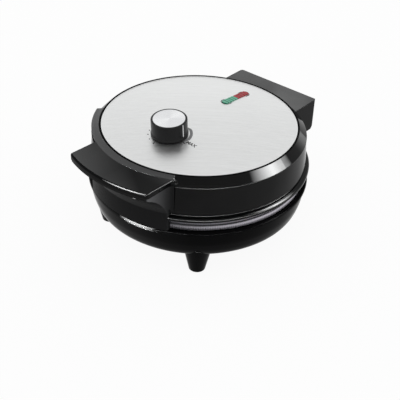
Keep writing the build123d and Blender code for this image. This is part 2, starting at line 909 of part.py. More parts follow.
def make_lower_rim():
    seat = cavity_floor_radius - grid_seat_width
    return turned_outline(
        (seat, low_under_z),
        (plate_body_radius - flange_edge, low_under_z),
        (plate_body_radius, low_under_z + flange_edge),
        (plate_body_radius, low_flange_z),
        (flange_radius - flange_edge, low_flange_z),
        (flange_radius, low_flange_z + flange_edge),
        (flange_radius, low_rim_z - flange_edge),
        (flange_radius - flange_edge, low_rim_z),
        (spill_groove_radius + spill_groove_width / 2, low_rim_z),
        (spill_groove_radius + spill_groove_width / 4, low_rim_z - spill_groove_depth),
        (spill_groove_radius - spill_groove_width / 4, low_rim_z - spill_groove_depth),
        (spill_groove_radius - spill_groove_width / 2, low_rim_z),
        (cavity_radius, low_rim_z),
        (cavity_floor_radius, cavity_floor_z),
        (cavity_floor_radius, grid_seat_z),
        (seat, grid_seat_z),
    )


parts["lower_waffle_plate"] = make_lower_grid()
parts["upper_waffle_plate"] = flip_to_lid(parts["lower_waffle_plate"])
parts["lower_plate_rim"] = make_lower_rim()
parts["upper_plate_rim"] = flip_to_lid(parts["lower_plate_rim"])


# Heating element: a bent tube, open at the back, with a terminal pin in each end
def make_element():
    z = low_under_z - seat_gap - tube_radius
    start = 90 + element_gap_angle / 2
    section = Plane.XZ * Pos(element_radius, z) * Circle(tube_radius)
    ring = revolve(Rot(0, 0, start) * section, Axis.Z, 360 - element_gap_angle)
    angle = math.radians(90 - element_gap_angle / 2)
    end = (element_radius * math.cos(angle), element_radius * math.sin(angle), z)
    pin = Cylinder(terminal_radius, 2 * terminal_length)
    pin = Pos(*end) * Rot(0, 0, 90 - element_gap_angle / 2) * Rot(90, 0, 0) * pin
    for copy in both_sides(pin):
        ring += copy
    return ring


parts["lower_heating_element"] = make_element()
parts["upper_heating_element"] = flip_to_lid(parts["lower_heating_element"])


# Reflector dish between the heating element and the casing, on the casing's posts
def make_shield():
    top = low_shield_z + shield_thickness
    inner = shield_radius - shield_thickness
    shield = turned_outline(
        (shield_hole_radius, low_shield_z),
        (shield_radius, low_shield_z),
        (shield_radius + shield_rim_lean, top + shield_rim_height),
        (inner + shield_rim_lean, top + shield_rim_height),
        (inner, top),
        (shield_hole_radius, top),
    )
    hole = disc(screw_radius + thread_gap, low_shield_z - past, top + past)
    for copy in around(hole, post_angles, post_circle_radius):
        shield -= copy
    return shield


parts["lower_heat_shield"] = make_shield()
parts["upper_heat_shield"] = flip_to_lid(parts["lower_heat_shield"])

spacer_low = low_shield_z + shield_thickness + contact_gap
spacer = tube(post_radius, screw_radius + thread_gap, spacer_low, low_lug_z - contact_gap)
parts["lower_spacers"] = group(around(spacer, post_angles, post_circle_radius))
parts["upper_spacers"] = group([flip_to_lid(s) for s in around(spacer, post_angles, post_circle_radius)])

low_screw = screw(screw_end_z, base_floor_z + screw_recess, head_up=False)
parts["lower_plate_screws"] = group(around(low_screw, post_angles, post_circle_radius))
high_screw = screw(2 * part_line_z - screw_end_z, lid_screw_seat_z(), head_up=True)
parts["upper_plate_screws"] = group(around(high_screw, post_angles, post_circle_radius))


# Hinge pins: fixed in the base's ears, running in the lid's lugs
pin_start = ear_inner_x + fit_gap
pin_end = lug_outer_x + fit_gap
hinge_pin = bar_x(pin_radius, hinge_y, hinge_z, pin_start, pin_end)
hinge_pin += bar_x(pin_head_radius, hinge_y, hinge_z, pin_end, pin_end + pin_head)
parts["hinge_pin_right"] = hinge_pin
parts["hinge_pin_left"] = mirror(hinge_pin, Plane.YZ)


# Thermostat under the dome, clamped by the nut on its bushing
bracket_top = -shell_under - contact_gap - dome_sag(math.hypot(bracket_length, bracket_width) / 2)
body_top = bracket_top - bracket_thickness - contact_gap
body_low = body_top - thermostat_height
nut_low = contact_gap


def make_thermostat():
    body = disc(thermostat_radius, body_low, body_top)
    body += disc(bushing_radius, body_top - past, bushing_top)
    blade_low = body_low + blade_rise
    for x in (-blade_width, blade_width):
        low = (x - blade_width / 2, -thermostat_radius - blade_length, blade_low)
        high = (x + blade_width / 2, -thermostat_radius + blade_root, blade_low + blade_thickness)
        body += box_between(low, high)
    return body - disc(spindle_radius + running_gap, body_low + thermostat_floor, bushing_top + past)


def make_bracket():
    plate = Pos(0, 0, bracket_top - bracket_thickness / 2)
    bracket = plate * Box(bracket_length, bracket_width, bracket_thickness)
    lip_x = bracket_length / 2 - bracket_thickness
    for x in (-lip_x, lip_x):
        low = (x - bracket_thickness / 2, -bracket_width / 2, bracket_top - bracket_lip)
        high = (x + bracket_thickness / 2, bracket_width / 2, bracket_top - bracket_thickness / 2)
        bracket += box_between(low, high)
    return bracket - disc(bushing_radius + thread_gap, bracket_top - bracket_lip, bracket_top + past)


def make_spindle(radius, low, high):
    """Round shaft with a flat on its knob end."""
    shaft = disc(radius, low, high)
    flat_x = radius - spindle_flat
    return shaft - box_between((flat_x, -radius, hub_foot), (2 * radius, radius, high + past))


def make_nut():
    hexagon = RegularPolygon(nut_across / 2, 6, major_radius=False)
    nut = Pos(0, 0, nut_low) * extrude(hexagon, nut_height)
    return nut - disc(bushing_radius + thread_gap, nut_low - past, nut_low + nut_height + past)


parts["thermostat_body"] = knob_place * make_thermostat()
parts["thermostat_bracket"] = knob_place * make_bracket()
parts["spindle_nut"] = knob_place * make_nut()
spindle_low = body_low + thermostat_floor + fit_gap
parts["thermostat_spindle"] = knob_place * make_spindle(spindle_radius, spindle_low, spindle_top)


# Knob: hollow cup on a keyed hub, with a spun cap, a pointer line and a spring clip
def pointer_box(stand):
    low = (knob_radius - pointer_depth, -pointer_width / 2, knob_float + 2 * knob_foot_height)
    high = (knob_radius + stand, pointer_width / 2, knob_top - knob_edge_bevel)
    return box_between(low, high)


def make_knob():
    knob_side_low = knob_float + 1.8 * knob_foot_height
    recess_z = knob_top - cap_thickness - contact_gap
    recess_radius = cap_radius + contact_gap
    under_z = knob_top - 2 * knob_wall
    knob = turned_outline(
        (0, recess_z),
        (recess_radius, recess_z),
        (recess_radius, knob_top),
        (knob_radius - knob_edge_bevel, knob_top),
        (knob_radius, knob_top - knob_edge_bevel),
        (knob_radius, knob_side_low),
        (knob_foot_radius, knob_float + knob_foot_height),
        (knob_foot_radius, knob_float),
        (knob_foot_radius - knob_wall, knob_float),
        (knob_radius - knob_wall, knob_side_low),
        (knob_radius - knob_wall, under_z),
        (hub_radius, under_z),
        (hub_radius, hub_foot),
        (0, hub_foot),
    )
    knob -= make_spindle(spindle_radius + contact_gap, hub_foot - past, spindle_top + fit_gap)
    return knob - pointer_box(past)


def make_cap():
    low = knob_top - cap_thickness
    return turned_outline(
        (0, low),
        (cap_radius, low),
        (cap_radius, knob_top - cap_bead / 3),
        (cap_radius - cap_bead / 3, knob_top),
        (cap_radius - 2 * cap_bead, knob_top),
        (cap_radius - 2.5 * cap_bead, knob_top - cap_dish),
        (0, knob_top - cap_dish / 2),
    )


def make_clip():
    radius = hub_radius + contact_gap
    low = hub_foot + clip_rise
    ring = tube(radius + clip_thickness, radius, low, low + clip_height)
    return ring - box_between((-2 * radius, -clip_opening / 2, 0), (0, clip_opening / 2, knob_top))


parts["knob"] = knob_place * make_knob()
parts["knob_cap"] = knob_place * make_cap()
parts["knob_pointer"] = knob_place * pointer_box(pointer_stand)
parts["knob_spring_clip"] = knob_place * make_clip()


# Lamp lenses in the cover plate's slot, with the tray and the two small lamps under them
lamp_reach = (lamp_length + lamp_width) / 2
tray_top = -shell_under - contact_gap - dome_sag(lamp_reach + tray_flange)


def make_lens(side):
    flange_top = -steel_thickness - contact_gap - dome_sag(lamp_reach + lens_flange)
    lens = lamp_outline(0, -lens_depth, lens_stand)
    lens += lamp_outline(lens_flange, flange_top - lens_flange_height, flange_top)
    half = lamp_length + lamp_width
    ribs_middle = side * lamp_length / 4
    for place in GridLocations(1, lens_rib_pitch, 1, lens_rib_count).locations:
        z = lens_stand + lens_rib_stand - lens_rib_radius
        lens += place * bar_x(lens_rib_radius, ribs_middle, z, -lamp_width / 2, lamp_width / 2)
    lens &= lamp_outline(lens_flange, -lens_depth, lens_stand + lens_rib_stand)
    keep = Pos(0, side * (half + lens_joint) / 2, 0) * Box(half, half, half)
    return lens & keep


def make_lamp_tray():
    top = tray_top
    low = top - tray_depth
    tray = lamp_outline(tray_margin + tray_wall, low, top)
    tray += lamp_outline(tray_flange, top - tray_flange_height, top)
    return tray - lamp_outline(tray_margin, low + tray_wall, top + past)


def make_neon(side):
    z = tray_top - tray_depth + tray_wall + neon_radius + seat_gap
    bulb = Cylinder(neon_radius, neon_length)
    bulb = fillet(bulb.edges().filter_by(GeomType.CIRCLE), neon_radius * 0.8)
    return Pos(0, side * neon_spacing / 2, z) * Rot(90, 0, 0) * bulb


parts["lamp_lens_green"] = lamp_place * make_lens(-1)
parts["lamp_lens_red"] = lamp_place * make_lens(1)
parts["lamp_tray"] = lamp_place * make_lamp_tray()
parts["neon_lamps"] = lamp_place * group([make_neon(-1), make_neon(1)])


# Thermal fuse held on the upper shield by a strap
def make_fuse():
    z = high_shield_z + fuse_radius + seat_gap
    fuse = bar_x(fuse_radius, fuse_y, z, -fuse_length / 2, fuse_length / 2)
    lead_end = fuse_length / 2 + fuse_lead_length
    return fuse + bar_x(fuse_lead_radius, fuse_y, z, -lead_end, lead_end)


def make_fuse_strap():
    floor_z = high_shield_z + contact_gap
    z = high_shield_z + fuse_radius + seat_gap
    inner = fuse_radius + seat_gap
    outer = inner + fuse_strap_thickness
    half = fuse_strap_width / 2
    strap = bar_x(outer, fuse_y, z, -half, half)
    strap += box_between((-half, fuse_y - outer, floor_z), (half, fuse_y + outer, z))
    reach = outer + fuse_strap_foot
    top = floor_z + fuse_strap_thickness
    strap += box_between((-half, fuse_y - reach, floor_z), (half, fuse_y + reach, top))
    strap -= bar_x(inner, fuse_y, z, -half - past, half + past)
    return strap - box_between((-half - past, fuse_y - inner, 0), (half + past, fuse_y + inner, z))


parts["thermal_fuse"] = make_fuse()
parts["fuse_strap"] = make_fuse_strap()


# Terminal block on the base's floor
def make_terminal_block():
    low = inner_floor_z + contact_gap
    middle = Pos(0, block_y, low + block_height / 2)
    block = middle * Box(block_length, block_width, block_height)
    well = disc(well_radius, low + block_height - well_depth, low + block_height + past)
    for place in GridLocations(well_pitch, 1, well_count, 1).locations:
        block -= Pos(0, block_y, 0) * place * well
    return block


def make_terminal_screws():
    low = inner_floor_z + contact_gap + block_height - well_depth
    head = disc(well_radius - thread_gap, low + contact_gap, low + screw_head_height)
    half = terminal_slot / 2
    head -= box_between((-well_radius, -half, low + past), (well_radius, half, low + well_depth))
    wells = GridLocations(well_pitch, 1, well_count, 1).locations
    return group([Pos(0, block_y, 0) * place * head for place in wells])


parts["terminal_block"] = make_terminal_block()
parts["terminal_screws"] = make_terminal_screws()


# Bush in the base's rear wall where the lead enters
def make_inlet_bush():
    face = inlet_boss_y + contact_gap
    tip = face + inlet_flange_height
    back = base_belly_radius - base_wall - inlet_tail
    bush = cone_y(inlet_flange_radius, inlet_flange_radius, inlet_z, face, tip)
    bush += cone_y(inlet_neck_radius, inlet_neck_radius, inlet_z, back, face)
    bush += cone_y(inlet_neck_radius, inlet_tip_radius, inlet_z, tip, tip + inlet_tip)
    return bush - cone_y(inlet_bore, inlet_bore, inlet_z, back - past, tip + inlet_tip + past)


parts["cord_inlet_bush"] = make_inlet_bush()

for name, shape in parts.items():
    export_step(shape, f"parts/{name}.step")
print(len(parts), "nodes")
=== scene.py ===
import bmesh
import bpy
import math
import numpy as np
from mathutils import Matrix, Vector


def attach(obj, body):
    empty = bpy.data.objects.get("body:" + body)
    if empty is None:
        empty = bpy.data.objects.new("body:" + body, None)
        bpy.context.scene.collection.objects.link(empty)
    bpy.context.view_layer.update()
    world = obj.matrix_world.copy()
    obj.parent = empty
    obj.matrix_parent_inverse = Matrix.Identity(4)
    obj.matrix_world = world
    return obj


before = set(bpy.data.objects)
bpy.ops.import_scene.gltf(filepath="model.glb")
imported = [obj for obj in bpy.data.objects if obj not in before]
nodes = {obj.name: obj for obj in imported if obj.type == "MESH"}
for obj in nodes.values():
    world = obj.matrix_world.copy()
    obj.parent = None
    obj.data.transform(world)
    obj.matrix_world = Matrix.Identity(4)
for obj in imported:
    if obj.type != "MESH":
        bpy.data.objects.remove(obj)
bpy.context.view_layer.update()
print("frame loaded,", len(nodes), "nodes")

# Camera, floor and lights

viewpoint = {
    "place": (0.42184, -0.50769, 0.48271),
    "turn": (54.6586, -1.6353, 40.6385),
    "lens": 77.49,
    "sensor": 36.0,
    "clip": (0.01, 20.0),
}
studio = {
    "floorColour": (0.92, 0.92, 0.92),
    "floorPatch": 0.995,    # how dark the floor's faint patches are
    "floorSize": 4.0,
    "floorMiddle": 0.001,   # share of the floor's radius left open under the machine
    "floorGlow": 0.93,
    "worldColour": (0.99, 1.0, 1.0),
    "worldStrength": 0.85,
    "panelFacing": 0.3,     # least cosine to a panel's middle at which the panel counts
}
# Panels of light in the surroundings, seen only in reflections and, where sharp, only in mirror
# smooth ones: bearing from +Y towards +X and height of the middle and of one end in degrees,
# half the width across, how soft the edges are, and the strength
panels = {
    "panelRight": {"middle": (51.0, 33.2), "end": (70.0, 41.5), "across": 0.38, "soft": 0.95,
                   "strength": 84.0, "sharp": True},
    "panelLeft": {"middle": (-153.0, 42.0), "end": (-172.0, 46.5), "across": 0.40, "soft": 0.6,
                  "strength": 230.0, "sharp": True},
    "panelHandle": {"middle": (-52.0, 30.3), "end": (-59.5, 30.3), "across": 0.10, "soft": 0.75,
                    "strength": 16.0, "sharp": True},
    "panelHinge": {"middle": (-36.0, 27.0), "end": (-41.5, 26.0), "across": 0.06, "soft": 0.6,
                   "strength": 11.0, "sharp": True},
    "panelHorizon": {"middle": (130.0, 4.0), "end": (190.0, 4.0), "across": 0.09, "soft": 0.8,
                     "strength": 230.0, "sharp": True},
    "panelOver": {"middle": (8.0, 55.0), "end": (34.0, 49.0), "across": 0.19, "soft": 0.9,
                  "strength": 130.0, "sharp": True},
    "panelBack": {"middle": (0.0, 3.0), "end": (14.0, 8.0), "across": 0.15, "soft": 1.0,
                  "strength": 5.0, "sharp": True},
    "panelPlate": {"middle": (-40.0, 14.0), "end": (-75.0, 14.0), "across": 0.30, "soft": 1.0,
                   "strength": 0.22, "sharp": False},
}


def makeCamera():
    data = bpy.data.cameras.new("photoCamera")
    data.lens = viewpoint["lens"]
    data.sensor_width = viewpoint["sensor"]
    data.clip_start, data.clip_end = viewpoint["clip"]
    camera = bpy.data.objects.new("photoCamera", data)
    camera.location = viewpoint["place"]
    camera.rotation_euler = [math.radians(a) for a in viewpoint["turn"]]
    bpy.context.scene.collection.objects.link(camera)
    bpy.context.scene.camera = camera


# Unit direction from a bearing and a height: sines and cosines of the two angles
def wayTo(bearing, height):
    bearing, height = math.radians(bearing), math.radians(height)
    return Vector((math.sin(bearing) * math.cos(height),
                   math.cos(bearing) * math.cos(height), math.sin(height)))


# How far a direction lies inside a panel: two dot products against its long and short ways,
# each faded over the soft share of the half width
def panelMask(tree, vector, facts):
    middle, end = wayTo(*facts["middle"]), wayTo(*facts["end"])
    along = (end - middle * end.dot(middle)).normalized()
    reach = abs(end.dot(along))
    mask = None
    for way, half in ((along, reach), (middle.cross(along), facts["across"])):
        dot = vectorNode(tree, "DOT_PRODUCT", vector, way)["Value"]
        share = mathNode(tree, "DIVIDE", mathNode(tree, "ABSOLUTE", dot), half)
        fade = rangeNode(tree, share, 1.0 - facts["soft"], 1.0 + facts["soft"] / 4, 1.0, 0.0)
        mask = fade if mask is None else mathNode(tree, "MULTIPLY", mask, fade)
    facing = vectorNode(tree, "DOT_PRODUCT", vector, middle)["Value"]
    facing = mathNode(tree, "GREATER_THAN", facing, studio["panelFacing"])
    return mathNode(tree, "MULTIPLY", mask, facing)


# Even pale world, white where the camera sees it, plus each panel where its rays see it
def makeWorld():
    world = bpy.data.worlds.new("studioWorld")
    world.use_nodes = True
    tree = world.node_tree
    background = tree.nodes["Background"]
    background.inputs["Color"].default_value = (*studio["worldColour"], 1)
    way = tree.nodes.new("ShaderNodeTexCoord").outputs["Generated"]
    path = tree.nodes.new("ShaderNodeLightPath")
    missing = 1.0 - studio["worldStrength"]
    strength = mathNode(tree, "MULTIPLY", path.outputs["Is Camera Ray"], missing)
    strength = mathNode(tree, "ADD", strength, studio["worldStrength"])
    for facts in panels.values():
        seen = path.outputs["Is Singular Ray" if facts["sharp"] else "Is Glossy Ray"]
        glow = mathNode(tree, "MULTIPLY", panelMask(tree, way, facts), facts["strength"])
        strength = mathNode(tree, "ADD", mathNode(tree, "MULTIPLY", glow, seen), strength)
    tree.links.new(strength, background.inputs["Strength"])
    bpy.context.scene.world = world


# Nodes that the materials and the world use again and again


def newGroup(name, inputs, outputs):
    group = bpy.data.node_groups.new(name, "ShaderNodeTree")
    for socketName, kind, value in inputs:
        socket = group.interface.new_socket(socketName, in_out="INPUT", socket_type=kind)
        if value is not None:
            socket.default_value = value
    for socketName, kind in outputs:
        group.interface.new_socket(socketName, in_out="OUTPUT", socket_type=kind)
    return group, group.nodes.new("NodeGroupInput"), group.nodes.new("NodeGroupOutput")


# A number is set on the socket itself, anything else is linked to it
def feed(tree, socket, value):
    if isinstance(value, (int, float)):
        socket.default_value = value
    else:
        tree.links.new(value, socket)


def mathNode(tree, operation, first, second=None, clamp=False):
    node = tree.nodes.new("ShaderNodeMath")
    node.operation = operation
    node.use_clamp = clamp
    for index, value in enumerate((first, second)):
        if value is not None:
            feed(tree, node.inputs[index], value)
    return node.outputs[0]


def vectorNode(tree, operation, vector, second=None):
    node = tree.nodes.new("ShaderNodeVectorMath")
    node.operation = operation
    tree.links.new(vector, node.inputs[0])
    if second is not None:
        node.inputs[1].default_value = second
    return node.outputs


def splitNode(tree, vector):
    node = tree.nodes.new("ShaderNodeSeparateXYZ")
    tree.links.new(vector, node.inputs[0])
    return node.outputs


def joinNode(tree, parts):
    node = tree.nodes.new("ShaderNodeCombineXYZ")
    for axis, value in zip("XYZ", parts):
        tree.links.new(value, node.inputs[axis])
    return node.outputs[0]


def noiseNode(tree, vector, scale, detail=2.0, roughness=0.5):
    node = tree.nodes.new("ShaderNodeTexNoise")
    node.inputs["Detail"].default_value = detail
    node.inputs["Roughness"].default_value = roughness
    tree.links.new(vector, node.inputs["Vector"])
    feed(tree, node.inputs["Scale"], scale)
    return node.outputs["Fac"]


def rangeNode(tree, value, fromLow, fromHigh, toLow, toHigh):
    node = tree.nodes.new("ShaderNodeMapRange")
    tree.links.new(value, node.inputs["Value"])
    for socketName, number in (("From Min", fromLow), ("From Max", fromHigh),
                               ("To Min", toLow), ("To Max", toHigh)):
        feed(tree, node.inputs[socketName], number)
    return node.outputs["Result"]


def mixColour(tree, factor, first, second):
    node = tree.nodes.new("ShaderNodeMix")
    node.data_type = "RGBA"
    tree.links.new(factor, node.inputs["Factor"])
    for socketIndex, value in ((6, first), (7, second)):    # the two colour sockets
        if isinstance(value, (tuple, list)):
            node.inputs[socketIndex].default_value = (*value[:3], 1)
        else:
            tree.links.new(value, node.inputs[socketIndex])
    return node.outputs[2]


# Shader groups shared by several materials

mouldSurface = {"smudgeScale": 22.0, "smudgeSpread": (0.32, 0.68), "speckScale": 1400.0,
                "speckSpread": (0.70, 0.78), "cloudScale": 40.0, "dustRoughness": 0.4}


# Moulded surface: fine peel in the height, smudges in the roughness, rare pale dust
def makeMouldGroup():
    group, source, sink = newGroup(
        "mouldedSurface",
        (("Vector", "NodeSocketVector", None), ("Peel Scale", "NodeSocketFloat", 900.0),
         ("Roughness Low", "NodeSocketFloat", 0.1), ("Roughness High", "NodeSocketFloat", 0.2),
         ("Dust", "NodeSocketFloat", 0.5)),
        (("Height", "NodeSocketFloat"), ("Roughness", "NodeSocketFloat"),
         ("Dust Mask", "NodeSocketFloat")))
    vector = source.outputs["Vector"]
    peel = noiseNode(group, vector, source.outputs["Peel Scale"], 1.5)
    smudge = noiseNode(group, vector, mouldSurface["smudgeScale"], 4.0, 0.62)
    speck = noiseNode(group, vector, mouldSurface["speckScale"], 1.0)
    cloud = noiseNode(group, vector, mouldSurface["cloudScale"], 2.0)
    dust = rangeNode(group, speck, *mouldSurface["speckSpread"], 0.0, 1.0)
    dust = mathNode(group, "MULTIPLY", dust, cloud)
    dust = mathNode(group, "MULTIPLY", dust, source.outputs["Dust"], clamp=True)
    roughness = rangeNode(group, smudge, *mouldSurface["smudgeSpread"],
                          source.outputs["Roughness Low"], source.outputs["Roughness High"])
    rougher = mathNode(group, "MULTIPLY", dust, mouldSurface["dustRoughness"])
    roughness = mathNode(group, "ADD", roughness, rougher)
    group.links.new(peel, sink.inputs["Height"])
    group.links.new(roughness, sink.inputs["Roughness"])
    group.links.new(dust, sink.inputs["Dust Mask"])
    return group


brushSurface = {"stretch": 0.03, "fineShare": 0.65, "coarseScale": 620.0, "coarseShare": 0.35,
                "patchScale": 14.0}


# Straight brushing: noise drawn out along one direction, coarse and fine lines together
def makeBrushGroup():
    group, source, sink = newGroup(
        "brushedLines",
        (("Vector", "NodeSocketVector", None), ("Fine Scale", "NodeSocketFloat", 3600.0)),
        (("Lines", "NodeSocketFloat"), ("Patches", "NodeSocketFloat")))
    stretch = group.nodes.new("ShaderNodeMapping")
    stretch.inputs["Scale"].default_value = (brushSurface["stretch"], 1.0, 1.0)
    group.links.new(source.outputs["Vector"], stretch.inputs["Vector"])
    drawn = stretch.outputs["Vector"]
    fine = noiseNode(group, drawn, source.outputs["Fine Scale"], 3.0, 0.7)
    coarse = noiseNode(group, drawn, brushSurface["coarseScale"], 2.0)
    lines = mathNode(group, "ADD", mathNode(group, "MULTIPLY", fine, brushSurface["fineShare"]),
                     mathNode(group, "MULTIPLY", coarse, brushSurface["coarseShare"]))
    patches = noiseNode(group, source.outputs["Vector"], brushSurface["patchScale"], 3.0)
    group.links.new(lines, sink.inputs["Lines"])
    group.links.new(patches, sink.inputs["Patches"])
    return group


# Turned rings: noise read along the distance from an axis, so it repeats round it
def makeRingGroup():
    group, source, sink = newGroup(
        "turnedRings",
        (("Vector", "NodeSocketVector", None), ("Ring Scale", "NodeSocketFloat", 3000.0)),
        (("Rings", "NodeSocketFloat"),))
    split = splitNode(group, source.outputs["Vector"])
    square = mathNode(group, "ADD", mathNode(group, "MULTIPLY", split["X"], split["X"]),
                      mathNode(group, "MULTIPLY", split["Y"], split["Y"]))
    distance = joinNode(group, (mathNode(group, "SQRT", square),))
    rings = noiseNode(group, distance, source.outputs["Ring Scale"], 2.0, 0.6)
    group.links.new(rings, sink.inputs["Rings"])
    return group


bpy.context.scene.view_settings.view_transform = "Standard"
makeCamera()
makeWorld()
print("camera and lights made")

mouldGroup = makeMouldGroup()
brushGroup = makeBrushGroup()
ringGroup = makeRingGroup()
print("shader groups made")

# Materials


# A new material with constants on its shader's sockets, and its Object coordinates
def startMaterial(name, **constants):
    material = bpy.data.materials.new(name)
    material.use_nodes = True
    tree = material.node_tree
    shader = tree.nodes["Principled BSDF"]
    for socketName, value in constants.items():
        shader.inputs[socketName.replace("_", " ")].default_value = value
    coordinates = tree.nodes.new("ShaderNodeTexCoord")
    return material, tree, shader, coordinates.outputs["Object"]


def placeVector(tree, vector, shift=(0, 0, 0), turn=(0, 0, 0)):
    node = tree.nodes.new("ShaderNodeMapping")
    node.inputs["Location"].default_value = shift
    node.inputs["Rotation"].default_value = [math.radians(a) for a in turn]
    tree.links.new(vector, node.inputs["Vector"])
    return node.outputs["Vector"]


def useGroup(tree, group, vector, **values):
    node = tree.nodes.new("ShaderNodeGroup")
    node.node_tree = group
    tree.links.new(vector, node.inputs["Vector"])
    for socketName, value in values.items():
        node.inputs[socketName.replace("_", " ")].default_value = value
    return node


# Bump from a height. With an edge radius a normal that rounds sharp edges is made as well: it
# goes to the coat where there is one, and the bump over it isn't linked to the shader's Normal
def addBump(tree, shader, height, strength, distance, edgeRadius=0.0, coated=False):
    bump = tree.nodes.new("ShaderNodeBump")
    bump.inputs["Strength"].default_value = strength
    bump.inputs["Distance"].default_value = distance
    tree.links.new(height, bump.inputs["Height"])
    if edgeRadius:
        bevel = tree.nodes.new("ShaderNodeBevel")
        bevel.samples = 14
        bevel.inputs["Radius"].default_value = edgeRadius
        tree.links.new(bevel.outputs["Normal"], bump.inputs["Normal"])
        if coated:
            tree.links.new(bevel.outputs["Normal"], shader.inputs["Coat Normal"])
        return bevel.outputs["Normal"]
    tree.links.new(bump.outputs["Normal"], shader.inputs["Normal"])


# coatFade: the two places along X between which the coat's weight changes, and its share at
# the second. rim: heights, leans of the normal, radius and span along X of the rounded look
plastics = {
    "glossBlackPlastic": {
        "colour": (0.0018, 0.0018, 0.0020), "dustColour": (0.03, 0.03, 0.03),
        "rough": (0.10, 0.18), "specular": 0.012, "peel": 700.0, "bump": 0.03,
        "edge": 0.0009, "dust": 0.12, "coat": 0.09, "coatFade": (0.0, 0.085, 3.1)},
    "baseBlackPlastic": {
        "colour": (0.0018, 0.0018, 0.0020), "dustColour": (0.03, 0.03, 0.03),
        "rough": (0.10, 0.18), "specular": 0.02, "peel": 700.0, "bump": 0.03,
        "edge": 0.0020, "dust": 0.12, "coat": 0.09, "coatFade": (0.02, 0.06, 0.12),
        "rim": {"low": 0.0457, "high": 0.0511, "lean": (0.80, 1.35), "radius": 0.0960,
                "span": (0.030, 0.040)}},
    "handleBlackPlastic": {
        "colour": (0.0115, 0.0115, 0.0118), "dustColour": (0.03, 0.03, 0.03),
        "rough": (0.24, 0.32), "specular": 0.02, "peel": 700.0, "bump": 0.03,
        "edge": 0.0006, "dust": 0.12, "coat": 0.06, "coatFade": (0.050, 0.044, 0.0),
        # side: painted light, a lighter colour on faces that look sideways: its colour, the
        # normal's X range and the Y range of its fade
        "side": {"colour": (0.12, 0.12, 0.124), "facing": (0.55, 0.9),
                 "fade": (-0.086, -0.114)}},
    # A lighter black than the lid's: a painted sheen on the band where the handle runs into the
    # ring
    "bandBlackPlastic": {
        "colour": (0.026, 0.026, 0.027), "dustColour": (0.04, 0.04, 0.04),
        "rough": (0.26, 0.34), "specular": 0.5, "peel": 1200.0, "bump": 0.05,
        "edge": 0.0003, "dust": 0.12, "coat": 0.04},
    "satinBlackPlastic": {
        "colour": (0.006, 0.006, 0.0065), "dustColour": (0.04, 0.04, 0.04),
        "rough": (0.30, 0.38), "specular": 0.22, "peel": 2400.0, "bump": 0.08,
        "edge": 0.0003, "dust": 0.15},
    "sealPlastic": {
        "colour": (0.0022, 0.0022, 0.0023), "dustColour": (0.02, 0.02, 0.02),
        "rough": (0.50, 0.62), "specular": 0.02, "peel": 2400.0, "bump": 0.08,
        "edge": 0.0001, "dust": 0.1},
    "paleHeatPlastic": {
        "colour": (0.70, 0.67, 0.58), "dustColour": (0.45, 0.42, 0.36),
        "rough": (0.42, 0.58), "specular": 0.5, "peel": 1800.0, "bump": 0.12,
        "edge": 0.0002, "dust": 0.8},
    "padRubber": {
        "colour": (0.022, 0.022, 0.023), "dustColour": (0.12, 0.11, 0.10),
        "rough": (0.68, 0.86), "specular": 0.30, "peel": 3600.0, "bump": 0.35,
        "edge": 0.0004, "dust": 1.0},
    "bushPlastic": {
        "colour": (0.012, 0.012, 0.013), "dustColour": (0.08, 0.08, 0.08),
        "rough": (0.45, 0.60), "specular": 0.3, "peel": 2600.0, "bump": 0.22,
        "edge": 0.0003, "dust": 0.5},
}
plasticSurface = {"bumpDepth": 0.0004, "smudgedCoat": 0.8}


# Plastic or rubber: smudges in the roughness, where it is glossy a mirror-smooth coat, and where
# asked painted side light in the colour
def makePlastic(name, facts):
    material, tree, shader, vector = startMaterial(
        name, Specular_IOR_Level=facts["specular"], Coat_Roughness=0.0, Coat_IOR=1.5)
    surface = useGroup(tree, mouldGroup, vector, Peel_Scale=facts["peel"], Dust=facts["dust"],
                       Roughness_Low=facts["rough"][0], Roughness_High=facts["rough"][1])
    tree.links.new(surface.outputs["Roughness"], shader.inputs["Roughness"])
    colour = mixColour(tree, surface.outputs["Dust Mask"], facts["colour"], facts["dustColour"])
    split = splitNode(tree, vector)
    # Painted side light: a lighter colour on faces that look sideways
    if "side" in facts:
        mask = paintedSideLightMask(tree, split, facts["side"])
        colour = mixColour(tree, mask, colour, facts["side"]["colour"])
    tree.links.new(colour, shader.inputs["Base Color"])
    if "coat" in facts:
        weight = rangeNode(tree, surface.outputs["Roughness"], *facts["rough"],
                           facts["coat"], facts["coat"] * plasticSurface["smudgedCoat"])
        if "coatFade" in facts:
            near, far, rest = facts["coatFade"]
            fade = rangeNode(tree, split["X"], near, far, 1.0, rest)
            weight = mathNode(tree, "MULTIPLY", weight, fade)
        tree.links.new(weight, shader.inputs["Coat Weight"])
    rounded = addBump(tree, shader, surface.outputs["Height"], facts["bump"],
                      plasticSurface["bumpDepth"], facts["edge"], coated="coat" in facts)
    if "rim" in facts:
        leaning = rimNormal(tree, vector, split, rounded, facts["rim"])
        tree.links.new(leaning, shader.inputs["Coat Normal"])
    return material


